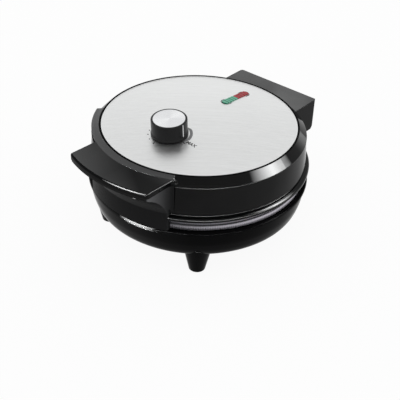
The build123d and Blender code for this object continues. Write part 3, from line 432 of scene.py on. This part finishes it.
# Rounded look of the base's rim: there the normal leans up more the higher the point lies
def rimNormal(tree, vector, split, rounded, rim):
    reach = vectorNode(tree, "LENGTH",
                       vectorNode(tree, "MULTIPLY", vector, (1, 1, 0))["Vector"])["Value"]
    lean = rangeNode(tree, split["Z"], rim["low"], rim["high"],
                     rim["lean"][0] * rim["radius"], rim["lean"][1] * rim["radius"])
    turn = tree.nodes.new("ShaderNodeVectorTransform")
    turn.vector_type = "NORMAL"
    turn.convert_from = "OBJECT"
    turn.convert_to = "WORLD"
    tree.links.new(joinNode(tree, (split["X"], split["Y"], lean)), turn.inputs[0])
    step = (rim["high"] - rim["low"]) / 10    # over which the leaning part begins
    share = mathNode(tree, "MULTIPLY",
                     rangeNode(tree, split["Z"], rim["low"] - step, rim["low"], 0.0, 1.0),
                     rangeNode(tree, reach, rim["radius"] - step, rim["radius"], 0.0, 1.0))
    share = mathNode(tree, "MULTIPLY", share, rangeNode(tree, split["X"], *rim["span"], 1.0, 0.0))
    mix = tree.nodes.new("ShaderNodeMix")
    mix.data_type = "VECTOR"
    tree.links.new(share, mix.inputs[0])
    tree.links.new(rounded, mix.inputs[4])          # the two vector sockets
    tree.links.new(turn.outputs[0], mix.inputs[5])
    return vectorNode(tree, "NORMALIZE", mix.outputs[1])["Vector"]


# Painted light on faces that look sideways: a lighter colour where the normal points along X,
# faded from the front edge back towards the wall
def paintedSideLightMask(tree, split, side):
    normal = splitNode(tree, tree.nodes.new("ShaderNodeTexCoord").outputs["Normal"])
    sideways = mathNode(tree, "ABSOLUTE", normal["X"])
    sideways = rangeNode(tree, sideways, *side["facing"], 0.0, 1.0)
    return mathNode(tree, "MULTIPLY", sideways,
                    rangeNode(tree, split["Y"], *side["fade"], 0.0, 1.0))


brushedPlate = {"dark": (0.735, 0.735, 0.732), "light": (0.885, 0.885, 0.883),
                "rough": (0.30, 0.42), "spread": (0.30, 0.70), "patchRoughness": 0.025,
                "bump": 0.30, "bumpDepth": 0.00003, "lineTurn": -40.0}


# Brushed steel: lines in the colour, the roughness and the bump, broad patches in the gloss
def makeBrushedSteel(name, facts):
    material, tree, shader, vector = startMaterial(name, Metallic=1.0)
    turned = placeVector(tree, vector, turn=(0, 0, facts["lineTurn"]))
    brush = useGroup(tree, brushGroup, turned)
    lines = brush.outputs["Lines"]
    tone = rangeNode(tree, lines, *facts["spread"], 0.0, 1.0)
    colour = mixColour(tree, tone, facts["dark"], facts["light"])
    tree.links.new(colour, shader.inputs["Base Color"])
    streak = rangeNode(tree, lines, *facts["spread"], *facts["rough"])
    patch = rangeNode(tree, brush.outputs["Patches"], 0.3, 0.7,
                      -facts["patchRoughness"], facts["patchRoughness"])
    tree.links.new(mathNode(tree, "ADD", streak, patch), shader.inputs["Roughness"])
    addBump(tree, shader, lines, facts["bump"], facts["bumpDepth"])
    return material


turnedMetals = {
    "spunAluminium": {
        "colour": (0.99, 0.99, 1.0), "shade": (0.84, 0.84, 0.855), "rough": (0.16, 0.28),
        "centre": (0, 0.0393, 0), "rings": 3600.0, "bump": 0.35, "grain": 0.75,
        # glass: a painted hourglass highlight in the colour: its turn, the span of its wave and
        # its depth
        "glass": {"turn": -12.0, "span": (-1.0, 0.4), "depth": 0.75}},
    "groundSteel": {
        "colour": (0.60, 0.60, 0.62), "shade": (0.44, 0.44, 0.45), "rough": (0.18, 0.34),
        "centre": (0, 0, 0), "rings": 2200.0, "bump": 0.2, "grain": 0.0},
    "zincScrew": {
        "colour": (0.66, 0.66, 0.68), "shade": (0.50, 0.49, 0.47), "rough": (0.26, 0.42),
        "centre": (0, 0, 0), "rings": 1800.0, "bump": 0.3, "grain": 0.0},
    "turnedBrass": {
        "colour": (0.74, 0.56, 0.27), "shade": (0.55, 0.39, 0.17), "rough": (0.22, 0.38),
        "centre": (0, 0.0393, 0), "rings": 2600.0, "bump": 0.3, "grain": 0.0},
    # Polished metal: its gloss is real, its near-white colour is a painted highlight on the
    # plate's rolled edge
    "polishedEdge": {
        "colour": (0.97, 0.97, 0.97), "shade": (0.90, 0.90, 0.90), "rough": (0.10, 0.16),
        "centre": (0, 0, 0), "rings": 900.0, "bump": 0.05, "grain": 0.0},
    "pressedAluminium": {
        "colour": (0.78, 0.78, 0.79), "shade": (0.62, 0.61, 0.60), "rough": (0.28, 0.44),
        "centre": (0, 0, 0), "rings": 900.0, "bump": 0.2, "grain": 0.0},
    "fuseCan": {
        "colour": (0.70, 0.67, 0.62), "shade": (0.50, 0.46, 0.40), "rough": (0.28, 0.40),
        "centre": (0, 0, 0), "rings": 1500.0, "bump": 0.2, "grain": 0.0},
}
turnedSurface = {"spread": (0.35, 0.65), "ringShare": 0.5, "cloudScale": 160.0,
                 "cloudSpread": (0.35, 0.7), "cloudShare": 0.6, "toneUnderPaintedSheen": 0.35,
                 "bumpDepth": 0.00003, "edge": 0.0002}


# Painted highlight of a spun face: an hourglass of lighter and darker colour, the cosine of twice
# the angle round the axis
def paintedHourglassSheen(tree, vector, glass):
    split = splitNode(tree, vector)
    angle = mathNode(tree, "ARCTAN2", split["Y"], split["X"])
    angle = mathNode(tree, "SUBTRACT", angle, math.radians(glass["turn"]))
    wave = mathNode(tree, "COSINE", mathNode(tree, "MULTIPLY", angle, 2.0))
    return rangeNode(tree, wave, *glass["span"], 0.0, glass["depth"])


# Turned or pressed metal: rings and soft clouds in the colour, rings in the roughness, and with
# grain a painted hourglass highlight in the colour
def makeTurnedMetal(name, facts):
    material, tree, shader, vector = startMaterial(
        name, Metallic=1.0, Anisotropic=facts["grain"])
    centred = placeVector(tree, vector, shift=facts["centre"])
    rings = useGroup(tree, ringGroup, centred, Ring_Scale=facts["rings"]).outputs["Rings"]
    tone = rangeNode(tree, rings, *turnedSurface["spread"], 0.0, 1.0)
    cloud = noiseNode(tree, vector, turnedSurface["cloudScale"], 4.0, 0.6)
    cloud = rangeNode(tree, cloud, *turnedSurface["cloudSpread"],
                      0.0, turnedSurface["cloudShare"])
    tone = mathNode(tree, "MULTIPLY", tone, turnedSurface["ringShare"])
    tone = mathNode(tree, "ADD", tone, cloud, clamp=True)
    # With grain, a painted hourglass highlight is laid into the colour over the rings
    if facts["grain"]:
        tone = mathNode(tree, "MULTIPLY", tone, turnedSurface["toneUnderPaintedSheen"])
        tone = mathNode(tree, "ADD", tone, paintedHourglassSheen(tree, centred, facts["glass"]), clamp=True)
    colour = mixColour(tree, tone, facts["colour"], facts["shade"])
    tree.links.new(colour, shader.inputs["Base Color"])
    rough = rangeNode(tree, rings, *turnedSurface["spread"], *facts["rough"])
    tree.links.new(rough, shader.inputs["Roughness"])
    if facts["grain"]:
        tangent = tree.nodes.new("ShaderNodeTangent")
        tangent.direction_type = "RADIAL"
        tangent.axis = "Z"
        tree.links.new(tangent.outputs["Tangent"], shader.inputs["Tangent"])
    addBump(tree, shader, rings, facts["bump"], turnedSurface["bumpDepth"],
            turnedSurface["edge"])
    return material


castCoats = {
    "castCoat": {
        "colour": (0.060, 0.058, 0.064), "fleck": (0.17, 0.165, 0.18), "rough": (0.30, 0.46),
        "edge": 0.0009, "metal": 0.35},
    # A lighter copy of castCoat: painted light on the ridged rims, which lie in the shade between
    # lid and base
    "ridgeCoat": {
        "colour": (0.15, 0.145, 0.16), "fleck": (0.36, 0.35, 0.38), "rough": (0.26, 0.40),
        "edge": 0.0001, "metal": 0.6, "far": (0.52, 0.50, 0.55), "farSpan": (0.045, 0.092)},
}
castSurface = {"fleckScale": 2600.0, "fleckSpread": (0.60, 0.72), "mottleScale": 60.0,
               "pebbleScale": 1500.0, "bump": 0.25, "bumpDepth": 0.00012}


# Non-stick coat: fine metal flecks under a dark satin film, mottled in its gloss, and where asked
# a painted light that lightens the colour along X
def makeCastCoat(name, facts):
    material, tree, shader, vector = startMaterial(name, Metallic=facts["metal"])
    fleck = noiseNode(tree, vector, castSurface["fleckScale"], 1.0)
    fleck = rangeNode(tree, fleck, *castSurface["fleckSpread"], 0.0, 1.0)
    colour = mixColour(tree, fleck, facts["colour"], facts["fleck"])
    # Painted light: the colour lightens towards +X between the two places along X
    if "far" in facts:
        across = splitNode(tree, vector)["X"]
        colour = mixColour(tree, rangeNode(tree, across, *facts["farSpan"], 0.0, 1.0),
                           colour, facts["far"])
    tree.links.new(colour, shader.inputs["Base Color"])
    mottle = noiseNode(tree, vector, castSurface["mottleScale"], 4.0, 0.6)
    rough = rangeNode(tree, mottle, 0.3, 0.7, *facts["rough"])
    tree.links.new(rough, shader.inputs["Roughness"])
    pebble = noiseNode(tree, vector, castSurface["pebbleScale"], 2.0)
    addBump(tree, shader, pebble, castSurface["bump"], castSurface["bumpDepth"], facts["edge"])
    return material


sheath = {"cold": (0.30, 0.29, 0.28), "hot": (0.20, 0.15, 0.12), "blue": (0.16, 0.17, 0.22),
          "driftScale": 38.0, "hotSpread": (0.38, 0.55), "blueSpread": (0.58, 0.70),
          "grainScale": 1200.0, "rough": (0.34, 0.55), "bump": 0.15, "bumpDepth": 0.00008}


# Heat-tinted tube: brown and blue bands that drift along it
def makeSheath(name, facts):
    material, tree, shader, vector = startMaterial(name, Metallic=0.9)
    drift = noiseNode(tree, vector, facts["driftScale"], 3.0)
    hot = rangeNode(tree, drift, *facts["hotSpread"], 0.0, 1.0)
    colour = mixColour(tree, hot, facts["cold"], facts["hot"])
    blue = rangeNode(tree, drift, *facts["blueSpread"], 0.0, 1.0)
    colour = mixColour(tree, blue, colour, facts["blue"])
    tree.links.new(colour, shader.inputs["Base Color"])
    grain = noiseNode(tree, vector, facts["grainScale"], 2.0)
    tree.links.new(rangeNode(tree, grain, 0.3, 0.7, *facts["rough"]), shader.inputs["Roughness"])
    addBump(tree, shader, grain, facts["bump"], facts["bumpDepth"])
    return material


lenses = {
    "greenLens": {"deep": (0.020, 0.20, 0.12), "bright": (0.17, 0.52, 0.36)},
    "redLens": {"deep": (0.16, 0.008, 0.012), "bright": (0.50, 0.040, 0.050)},
}
lensSurface = {"ribPitch": 0.0034, "ribShadeSpread": (-0.7, 0.6), "ribShadeShare": 0.85,
               "cloudScale": 420.0, "cloudShare": 0.3, "rippleScale": 900.0, "bump": 0.05,
               "bumpDepth": 0.0001, "edge": 0.0002}


# Ribbed lens: coloured plastic with painted shade, its colour darker in stripes for the grooves
# between its ribs, which follow a sine along Y
def makeLens(name, facts):
    material, tree, shader, vector = startMaterial(name, Roughness=0.2, Specular_IOR_Level=0.3)
    along = splitNode(tree, vector)["Y"]
    wave = mathNode(tree, "MULTIPLY", along, 2 * math.pi / lensSurface["ribPitch"])
    wave = mathNode(tree, "SINE", wave)
    cloud = noiseNode(tree, vector, lensSurface["cloudScale"], 2.0)
    cloud = mathNode(tree, "MULTIPLY", cloud, lensSurface["cloudShare"])
    ribShadeTone = rangeNode(tree, wave, *lensSurface["ribShadeSpread"], 0.0, lensSurface["ribShadeShare"])
    tone = mathNode(tree, "ADD", ribShadeTone, cloud, clamp=True)
    colour = mixColour(tree, tone, facts["deep"], facts["bright"])
    tree.links.new(colour, shader.inputs["Base Color"])
    ripple = noiseNode(tree, vector, lensSurface["rippleScale"], 1.0)
    addBump(tree, shader, ripple, lensSurface["bump"], lensSurface["bumpDepth"],
            lensSurface["edge"])
    return material


inks = {
    "blackInk": {"colour": (0.012, 0.012, 0.013), "thin": (0.045, 0.045, 0.047)},
    "greyInk": {"colour": (0.20, 0.20, 0.205), "thin": (0.30, 0.30, 0.305)},
}
inkSurface = {"grainScale": 5200.0, "thinSpread": (0.52, 0.80), "rough": (0.38, 0.52)}


# Printed ink: thin spots in the colour, grain in the roughness
def makeInk(name, facts):
    material, tree, shader, vector = startMaterial(name, Specular_IOR_Level=0.35)
    grain = noiseNode(tree, vector, inkSurface["grainScale"], 2.0)
    tone = rangeNode(tree, grain, *inkSurface["thinSpread"], 0.0, 1.0)
    colour = mixColour(tree, tone, facts["colour"], facts["thin"])
    tree.links.new(colour, shader.inputs["Base Color"])
    rough = rangeNode(tree, grain, 0.3, 0.7, *inkSurface["rough"])
    tree.links.new(rough, shader.inputs["Roughness"])
    return material


lampGlass = {"pale": (0.96, 0.80, 0.66), "deep": (0.90, 0.66, 0.48), "hazeScale": 700.0,
             "rough": (0.04, 0.16)}


# Glass of the neon lamps: warm haze in the colour and the roughness
def makeLampGlass(name, facts):
    material, tree, shader, vector = startMaterial(name, IOR=1.5, Transmission_Weight=0.85)
    haze = noiseNode(tree, vector, facts["hazeScale"], 2.0)
    tree.links.new(rangeNode(tree, haze, 0.3, 0.7, *facts["rough"]), shader.inputs["Roughness"])
    colour = mixColour(tree, haze, facts["pale"], facts["deep"])
    tree.links.new(colour, shader.inputs["Base Color"])
    return material


# Pale floor: plain diffuse, with a white glow mixed in where it is seen directly, in gloss or
# through glass, so it shows as a white background and keeps the shadow
def makeFloorMaterial(name, facts):
    material, tree, shader, vector = startMaterial(name, Roughness=0.9, Specular_IOR_Level=0.1)
    tone = rangeNode(tree, noiseNode(tree, vector, 3.0, 2.0), 0.3, 0.7, 0.0, 1.0)
    pale = facts["floorColour"]
    colour = mixColour(tree, tone, pale, [c * facts["floorPatch"] for c in pale])
    tree.links.new(colour, shader.inputs["Base Color"])
    glow = tree.nodes.new("ShaderNodeEmission")
    path = tree.nodes.new("ShaderNodeLightPath")
    seen = mathNode(tree, "MAXIMUM", path.outputs["Is Camera Ray"], path.outputs["Is Glossy Ray"])
    seen = mathNode(tree, "MAXIMUM", seen, path.outputs["Is Transmission Ray"])
    mix = tree.nodes.new("ShaderNodeMixShader")
    tree.links.new(mathNode(tree, "MULTIPLY", seen, facts["floorGlow"]), mix.inputs["Fac"])
    tree.links.new(shader.outputs["BSDF"], mix.inputs[1])
    tree.links.new(glow.outputs["Emission"], mix.inputs[2])
    tree.links.new(mix.outputs["Shader"], tree.nodes["Material Output"].inputs["Surface"])
    return material


materials = {}
for makeFinish, finishes in (
        (makePlastic, plastics), (makeTurnedMetal, turnedMetals), (makeLens, lenses),
        (makeInk, inks), (makeBrushedSteel, {"brushedSteel": brushedPlate}),
        (makeCastCoat, castCoats), (makeSheath, {"heatedSheath": sheath}),
        (makeLampGlass, {"lampGlass": lampGlass}), (makeFloorMaterial, {"studioFloor": studio})):
    for finishName, facts in finishes.items():
        materials[finishName] = makeFinish(finishName, facts)

nodeFinishes = {
    "glossBlackPlastic": ("lid_housing",),
    "handleBlackPlastic": ("handle_underside",),
    "baseBlackPlastic": ("base_housing", "foot_front_left", "foot_front_right",
                         "foot_rear_left", "foot_rear_right"),
    "satinBlackPlastic": ("knob",),
    "paleHeatPlastic": ("lamp_tray", "terminal_block"),
    "padRubber": ("foot_pads",),
    "bushPlastic": ("cord_inlet_bush",),
    "brushedSteel": ("lid_steel_plate",),
    "spunAluminium": ("knob_cap", "knob_pointer"),
    "groundSteel": ("hinge_pin_left", "hinge_pin_right", "knob_spring_clip", "thermostat_spindle"),
    "zincScrew": ("handle_screws", "lower_plate_screws", "upper_plate_screws", "foot_screws",
                  "thermostat_bracket", "thermostat_body"),
    "turnedBrass": ("spindle_nut", "terminal_screws"),
    "pressedAluminium": ("lower_heat_shield", "upper_heat_shield", "lower_spacers",
                         "upper_spacers", "fuse_strap"),
    "fuseCan": ("thermal_fuse",),
    "castCoat": ("lower_waffle_plate", "upper_waffle_plate", "lower_plate_rim", "upper_plate_rim"),
    "heatedSheath": ("lower_heating_element", "upper_heating_element"),
    "greenLens": ("lamp_lens_green",),
    "redLens": ("lamp_lens_red",),
    "lampGlass": ("neon_lamps",),
}
for finishName, nodeNames in nodeFinishes.items():
    for nodeName in nodeNames:
        for materialSlot in nodes[nodeName].material_slots:
            materialSlot.material = materials[finishName]
print("materials given to", sum(len(n) for n in nodeFinishes.values()), "nodes")

# Pieces made from grids of points, in metres


def fullTurn(steps):
    return np.linspace(0, 2 * np.pi, steps + 1)[:-1]


# A profile carried round the machine's axis: radius times the cosine and the sine of the turn
def carryRound(turn, radius, height):
    points = np.broadcast_arrays(radius * np.cos(turn), radius * np.sin(turn), height)
    return np.stack(points, -1)


# Four corners of each face of a grid whose columns, and if asked rows, close on themselves
def gridFaces(rows, columns, wrapRows=False):
    row = np.arange(rows if wrapRows else rows - 1)[:, None]
    column = np.arange(columns)[None, :]
    nextRow, nextColumn = (row + 1) % rows, (column + 1) % columns
    corners = [row * columns + column, row * columns + nextColumn,
               nextRow * columns + nextColumn, nextRow * columns + column]
    return np.stack([c.ravel() for c in np.broadcast_arrays(*corners)], -1)


# One grid as a piece: points has the shape (rows, columns, 3)
def gridPiece(name, points, material, body, wrapRows=False, caps=False, smooth=True):
    rows, columns = points.shape[:2]
    faces = gridFaces(rows, columns, wrapRows).tolist()
    if caps:
        faces += [list(range(columns))[::-1], [(rows - 1) * columns + i for i in range(columns)]]
    return meshPiece(name, points.reshape(-1, 3), faces, material, body, smooth)


# Several closed grids of one shape as one piece: points has the shape (count, rows, columns, 3)
def manyGrids(name, points, material, body):
    count, rows, columns = points.shape[:3]
    one = gridFaces(rows, columns)
    faces = []
    for index in range(count):
        start = index * rows * columns
        faces += (one + start).tolist()
        faces.append([start + i for i in range(columns)][::-1])
        faces.append([start + (rows - 1) * columns + i for i in range(columns)])
    return meshPiece(name, points.reshape(-1, 3), faces, material, body, smooth=False)


def meshPiece(name, points, faces, material, body, smooth):
    mesh = bpy.data.meshes.new(name)
    mesh.from_pydata(points.tolist(), [], faces)
    mesh.update()
    fixNormals(mesh)
    mesh.polygons.foreach_set("use_smooth", np.full(len(mesh.polygons), smooth))
    piece = bpy.data.objects.new(name, mesh)
    bpy.context.scene.collection.objects.link(piece)
    mesh.materials.append(materials[material])
    if body:
        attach(piece, body)
    return piece


def fixNormals(mesh):
    shape = bmesh.new()
    shape.from_mesh(mesh)
    bmesh.ops.recalc_face_normals(shape, faces=shape.faces)
    shape.to_mesh(mesh)
    shape.free()


# Round floor: two rings of points, the inner one far under the machine
floorRows = np.array([studio["floorMiddle"], 1.0])[:, None] * studio["floorSize"]
floorPoints = carryRound(fullTurn(96)[None, :], floorRows, 0.0)
floor = gridPiece("studioFloor", floorPoints, "studioFloor", None, smooth=False)

# The dome of the steel plate: a sphere through its edge and its top
dome = {"edgeRadius": 0.0865, "edgeHeight": 0.0996, "rise": 0.0063}
dome["radius"] = (dome["edgeRadius"] ** 2 + dome["rise"] ** 2) / (2 * dome["rise"])
dome["centre"] = dome["edgeHeight"] + dome["rise"] - dome["radius"]


# Points at a stand over the dome above plan positions x, y
def onDome(x, y, stand):
    reach = dome["radius"] + stand
    height = dome["centre"] + np.sqrt(reach ** 2 - x ** 2 - y ** 2)
    return np.stack(np.broadcast_arrays(x, y, height), -1)


dial = {
    "centre": (0.0, -0.0393), "stand": 0.00004, "under": 0.00003,
    "dotRing": 0.0184, "dotRadius": 0.00062, "dotMiddle": 0.02, "dotAngles": (202.0, 221.5, 244.4),
    "dashReach": (0.0178, 0.0197), "dashWidth": 0.0012, "dashAngles": (267.0, 352.0),
    "wedge": (0.0172, 0.0198), "wedgeAngles": (-2.0, 74.0), "wedgeSteps": 40,
    "wedgeEnd": 0.12, "wedgeSwell": 1.6, "wedgeThin": 0.15,
    "word": "MAX", "wordStart": (0.0192, -0.0014), "wordHeight": 0.0033, "capitalShare": 0.7,
    "wordBold": 0.00012, "wordHalfThick": 0.00003, "wordStand": 0.00001,
}


# A flat print on the dome: a closed skin between two plan edges, from under the steel to its stand
def printBand(inner, outer):
    rings = [onDome(edge[:, 0], edge[:, 1], stand)
             for edge, stand in ((inner, -dial["under"]), (inner, dial["stand"]),
                                 (outer, dial["stand"]), (outer, -dial["under"]))]
    return np.stack(rings, 1)


def dialPoint(radius, angle):
    return np.stack([dial["centre"][0] + radius * np.cos(angle),
                     dial["centre"][1] + radius * np.sin(angle)], -1)


# Dots: small discs, each three closed rings of points, the last one nearly at the middle
def makeDialDots():
    turn = fullTurn(16)
    dots = []
    for angle in dial["dotAngles"]:
        middle = dialPoint(dial["dotRing"], math.radians(angle))
        rows = []
        for share, stand in ((1.0, -dial["under"]), (1.0, dial["stand"]),
                             (dial["dotMiddle"], dial["stand"])):
            x = middle[0] + share * dial["dotRadius"] * np.cos(turn)
            y = middle[1] + share * dial["dotRadius"] * np.sin(turn)
            rows.append(onDome(x, y, stand))
        dots.append(np.stack(rows))
    return manyGrids("dialDots", np.stack(dots), "blackInk", "lid")


# Dashes: short radial strokes, half their width to each side of a radius
def makeDialDashes():
    strokes = []
    for angle in dial["dashAngles"]:
        turn = math.radians(angle)
        along = np.array((math.cos(turn), math.sin(turn)))
        side = np.array((-math.sin(turn), math.cos(turn)))
        steps = np.linspace(*dial["dashReach"], 4)[:, None]
        middle = np.array(dial["centre"]) + steps * along
        half = side * dial["dashWidth"] / 2
        strokes.append(printBand(middle - half, middle + half))
    return manyGrids("dialDashes", np.stack(strokes), "blackInk", "lid")


# Wedge: a ring sector whose width follows a clipped sine, so it is thin at both ends
def makeDialWedge():
    low, high = [math.radians(a) for a in dial["wedgeAngles"]]
    angle = np.linspace(low, high, dial["wedgeSteps"])
    wave = np.sin(np.linspace(dial["wedgeEnd"], math.pi - dial["wedgeEnd"], dial["wedgeSteps"]))
    width = np.clip(wave * dial["wedgeSwell"], dial["wedgeThin"], 1.0)
    near, far = dial["wedge"]
    inner = dialPoint(np.full(dial["wedgeSteps"], near), angle)
    outer = dialPoint(near + (far - near) * width, angle)
    return gridPiece("dialWedge", printBand(inner, outer), "greyInk", "lid",
                     caps=True, smooth=False)


# The word at the dial's hot end: letters as a thin solid, laid over the dome
def makeDialWord():
    curve = bpy.data.curves.new("dialWord", "FONT")
    curve.body = dial["word"]
    curve.size = dial["wordHeight"] / dial["capitalShare"]
    curve.extrude = dial["wordHalfThick"]
    curve.offset = dial["wordBold"]
    letters = bpy.data.objects.new("dialWord", curve)
    mesh = bpy.data.meshes.new_from_object(letters)
    bpy.data.objects.remove(letters)
    points = np.empty(len(mesh.vertices) * 3)
    mesh.vertices.foreach_get("co", points)
    points = points.reshape(-1, 3)
    x = points[:, 0] + dial["centre"][0] + dial["wordStart"][0]
    y = points[:, 1] + dial["centre"][1] + dial["wordStart"][1]
    laid = onDome(x, y, dial["wordStand"])
    laid[:, 2] += points[:, 2]
    faces = [list(polygon.vertices) for polygon in mesh.polygons]
    bpy.data.meshes.remove(mesh)
    return meshPiece("dialWord", laid, faces, "blackInk", "lid", smooth=False)


dialPieces = (makeDialDots(), makeDialDashes(), makeDialWedge(), makeDialWord())
print("dial print made")

steelEdge = {"radius": 0.08645, "height": 0.0994, "thick": 0.00042}


# Rolled edge of the steel plate: a round wire shape carried round the plate's rim, in a near-white
# metal that paints a highlight along it
def makeSteelEdge():
    around = fullTurn(8)[None, :]
    radius = steelEdge["radius"] + steelEdge["thick"] * np.cos(around)
    height = steelEdge["height"] + steelEdge["thick"] * np.sin(around)
    points = carryRound(fullTurn(360)[:, None], radius, height)
    return gridPiece("steelRolledEdge", points, "polishedEdge", "lid", wrapRows=True)


makeSteelEdge()

plateSeal = {"profile": ((0.08660, 0.0994), (0.08664, 0.10004), (0.0869, 0.10018),
                         (0.0880, 0.10018), (0.0883, 0.10008), (0.08845, 0.0997))}


# Dark seal between the steel plate and the ring: the profile carried round the axis
def makePlateSeal():
    radius, height = np.array(plateSeal["profile"]).T[:, None, :]
    points = carryRound(fullTurn(360)[:, None], radius, height)
    return gridPiece("plateSeal", points, "sealPlastic", "lid", wrapRows=True)


makePlateSeal()

lampFrame = {"inset": 0.0012, "inner": -0.0002, "outer": 0.0006, "under": -0.00005,
             "stand": 0.00006}


# Dark frame round the lamp window: a print on the dome along a slot with half-round ends
def makeLampFrame():
    corners = [nodes[name].matrix_world @ Vector(corner)
               for name in ("lamp_lens_green", "lamp_lens_red")
               for corner in nodes[name].bound_box]
    half = max(corner.x for corner in corners)
    low = min(corner.y for corner in corners) + lampFrame["inset"]
    high = max(corner.y for corner in corners) - lampFrame["inset"]
    turn = fullTurn(96)
    rows = []
    for edge, level in (("inner", "under"), ("inner", "stand"),
                        ("outer", "stand"), ("outer", "under")):
        reach = half + lampFrame[edge]
        x = reach * np.cos(turn)
        y = reach * np.sin(turn) + np.where(np.sin(turn) >= 0, high - half, low + half)
        rows.append(onDome(x, y, lampFrame[level]))
    return gridPiece("lampFrame", np.stack(rows, 1), "blackInk", "lid",
                     wrapRows=True, smooth=False)


makeLampFrame()

rootBand = {"inner": (0.0884, 0.09992), "outer": (0.0950, 0.09834), "under": 0.0006,
            "angles": (-152.5, -62.0), "steps": 161, "hollow": 0.0002,
            "widthRun": (3.6, -0.4), "widthPower": 0.7, "widthGain": 0.26, "widthLeast": 0.74}


# Band where the handle's top runs into the ring: a shallow hollow slope, closed underneath, in a
# lighter black that paints its sheen.
# Its width is a power of a falling run, over a least width, and its hollow is a sine across it
def makeRootBand():
    steps, inner, outer = rootBand["steps"], rootBand["inner"], rootBand["outer"]
    angles = np.radians(np.linspace(*rootBand["angles"], steps))[:, None]
    run = np.clip(np.linspace(*rootBand["widthRun"], steps), 0.0, 1.0)[:, None]
    width = run ** rootBand["widthPower"] * rootBand["widthGain"] + rootBand["widthLeast"]
    share = np.linspace(0, 1, 9)[None, :]
    radius = inner[0] + share * width * (outer[0] - inner[0])
    height = inner[1] + share * (outer[1] - inner[1])
    height = height - rootBand["hollow"] * np.sin(np.pi * share)
    radius = np.concatenate([radius, radius[:, ::-1]], 1)
    height = np.concatenate([height, height[:, ::-1] - rootBand["under"]], 1)
    points = carryRound(angles, radius, height)
    return gridPiece("handleRootBand", points, "bandBlackPlastic", "lid", caps=True)


makeRootBand()
print("plate edge, seal, lamp frame and root band made")

ridgedRim = {"teeth": 300, "toothSteps": 6, "radius": 0.09495, "depth": 0.00062,
             "roundness": 0.8, "levels": (-0.2, 0.0, 0.12, 0.5, 0.88, 1.0, 1.2),
             "swells": (-1.6, -0.2, 0.9, 1.0, 0.9, -0.2, -1.6),
             "lower": (0.0512, 0.0557), "upper": (0.0571, 0.0616)}


# Ridged rim of a plate: the radius follows a rounded tooth wave round it and dips at both edges
def makeRidgedRim(name, low, high, body):
    turn = fullTurn(ridgedRim["teeth"] * ridgedRim["toothSteps"])[:, None]
    tooth = np.abs(np.sin(turn * ridgedRim["teeth"] / 2)) ** ridgedRim["roundness"]
    level = np.array(ridgedRim["levels"])[None, :]
    swell = np.array(ridgedRim["swells"])[None, :]
    radius = ridgedRim["radius"] + ridgedRim["depth"] * np.where(swell > 0, swell * tooth, swell)
    height = np.clip(low + (high - low) * level, low, high)
    points = carryRound(turn, radius, height)
    return gridPiece(name, points, "ridgeCoat", body, wrapRows=True)


lowerRim = makeRidgedRim("lowerRimRidges", *ridgedRim["lower"], "base")
upperRim = makeRidgedRim("upperRimRidges", *ridgedRim["upper"], "lid")
print("plate rims made")
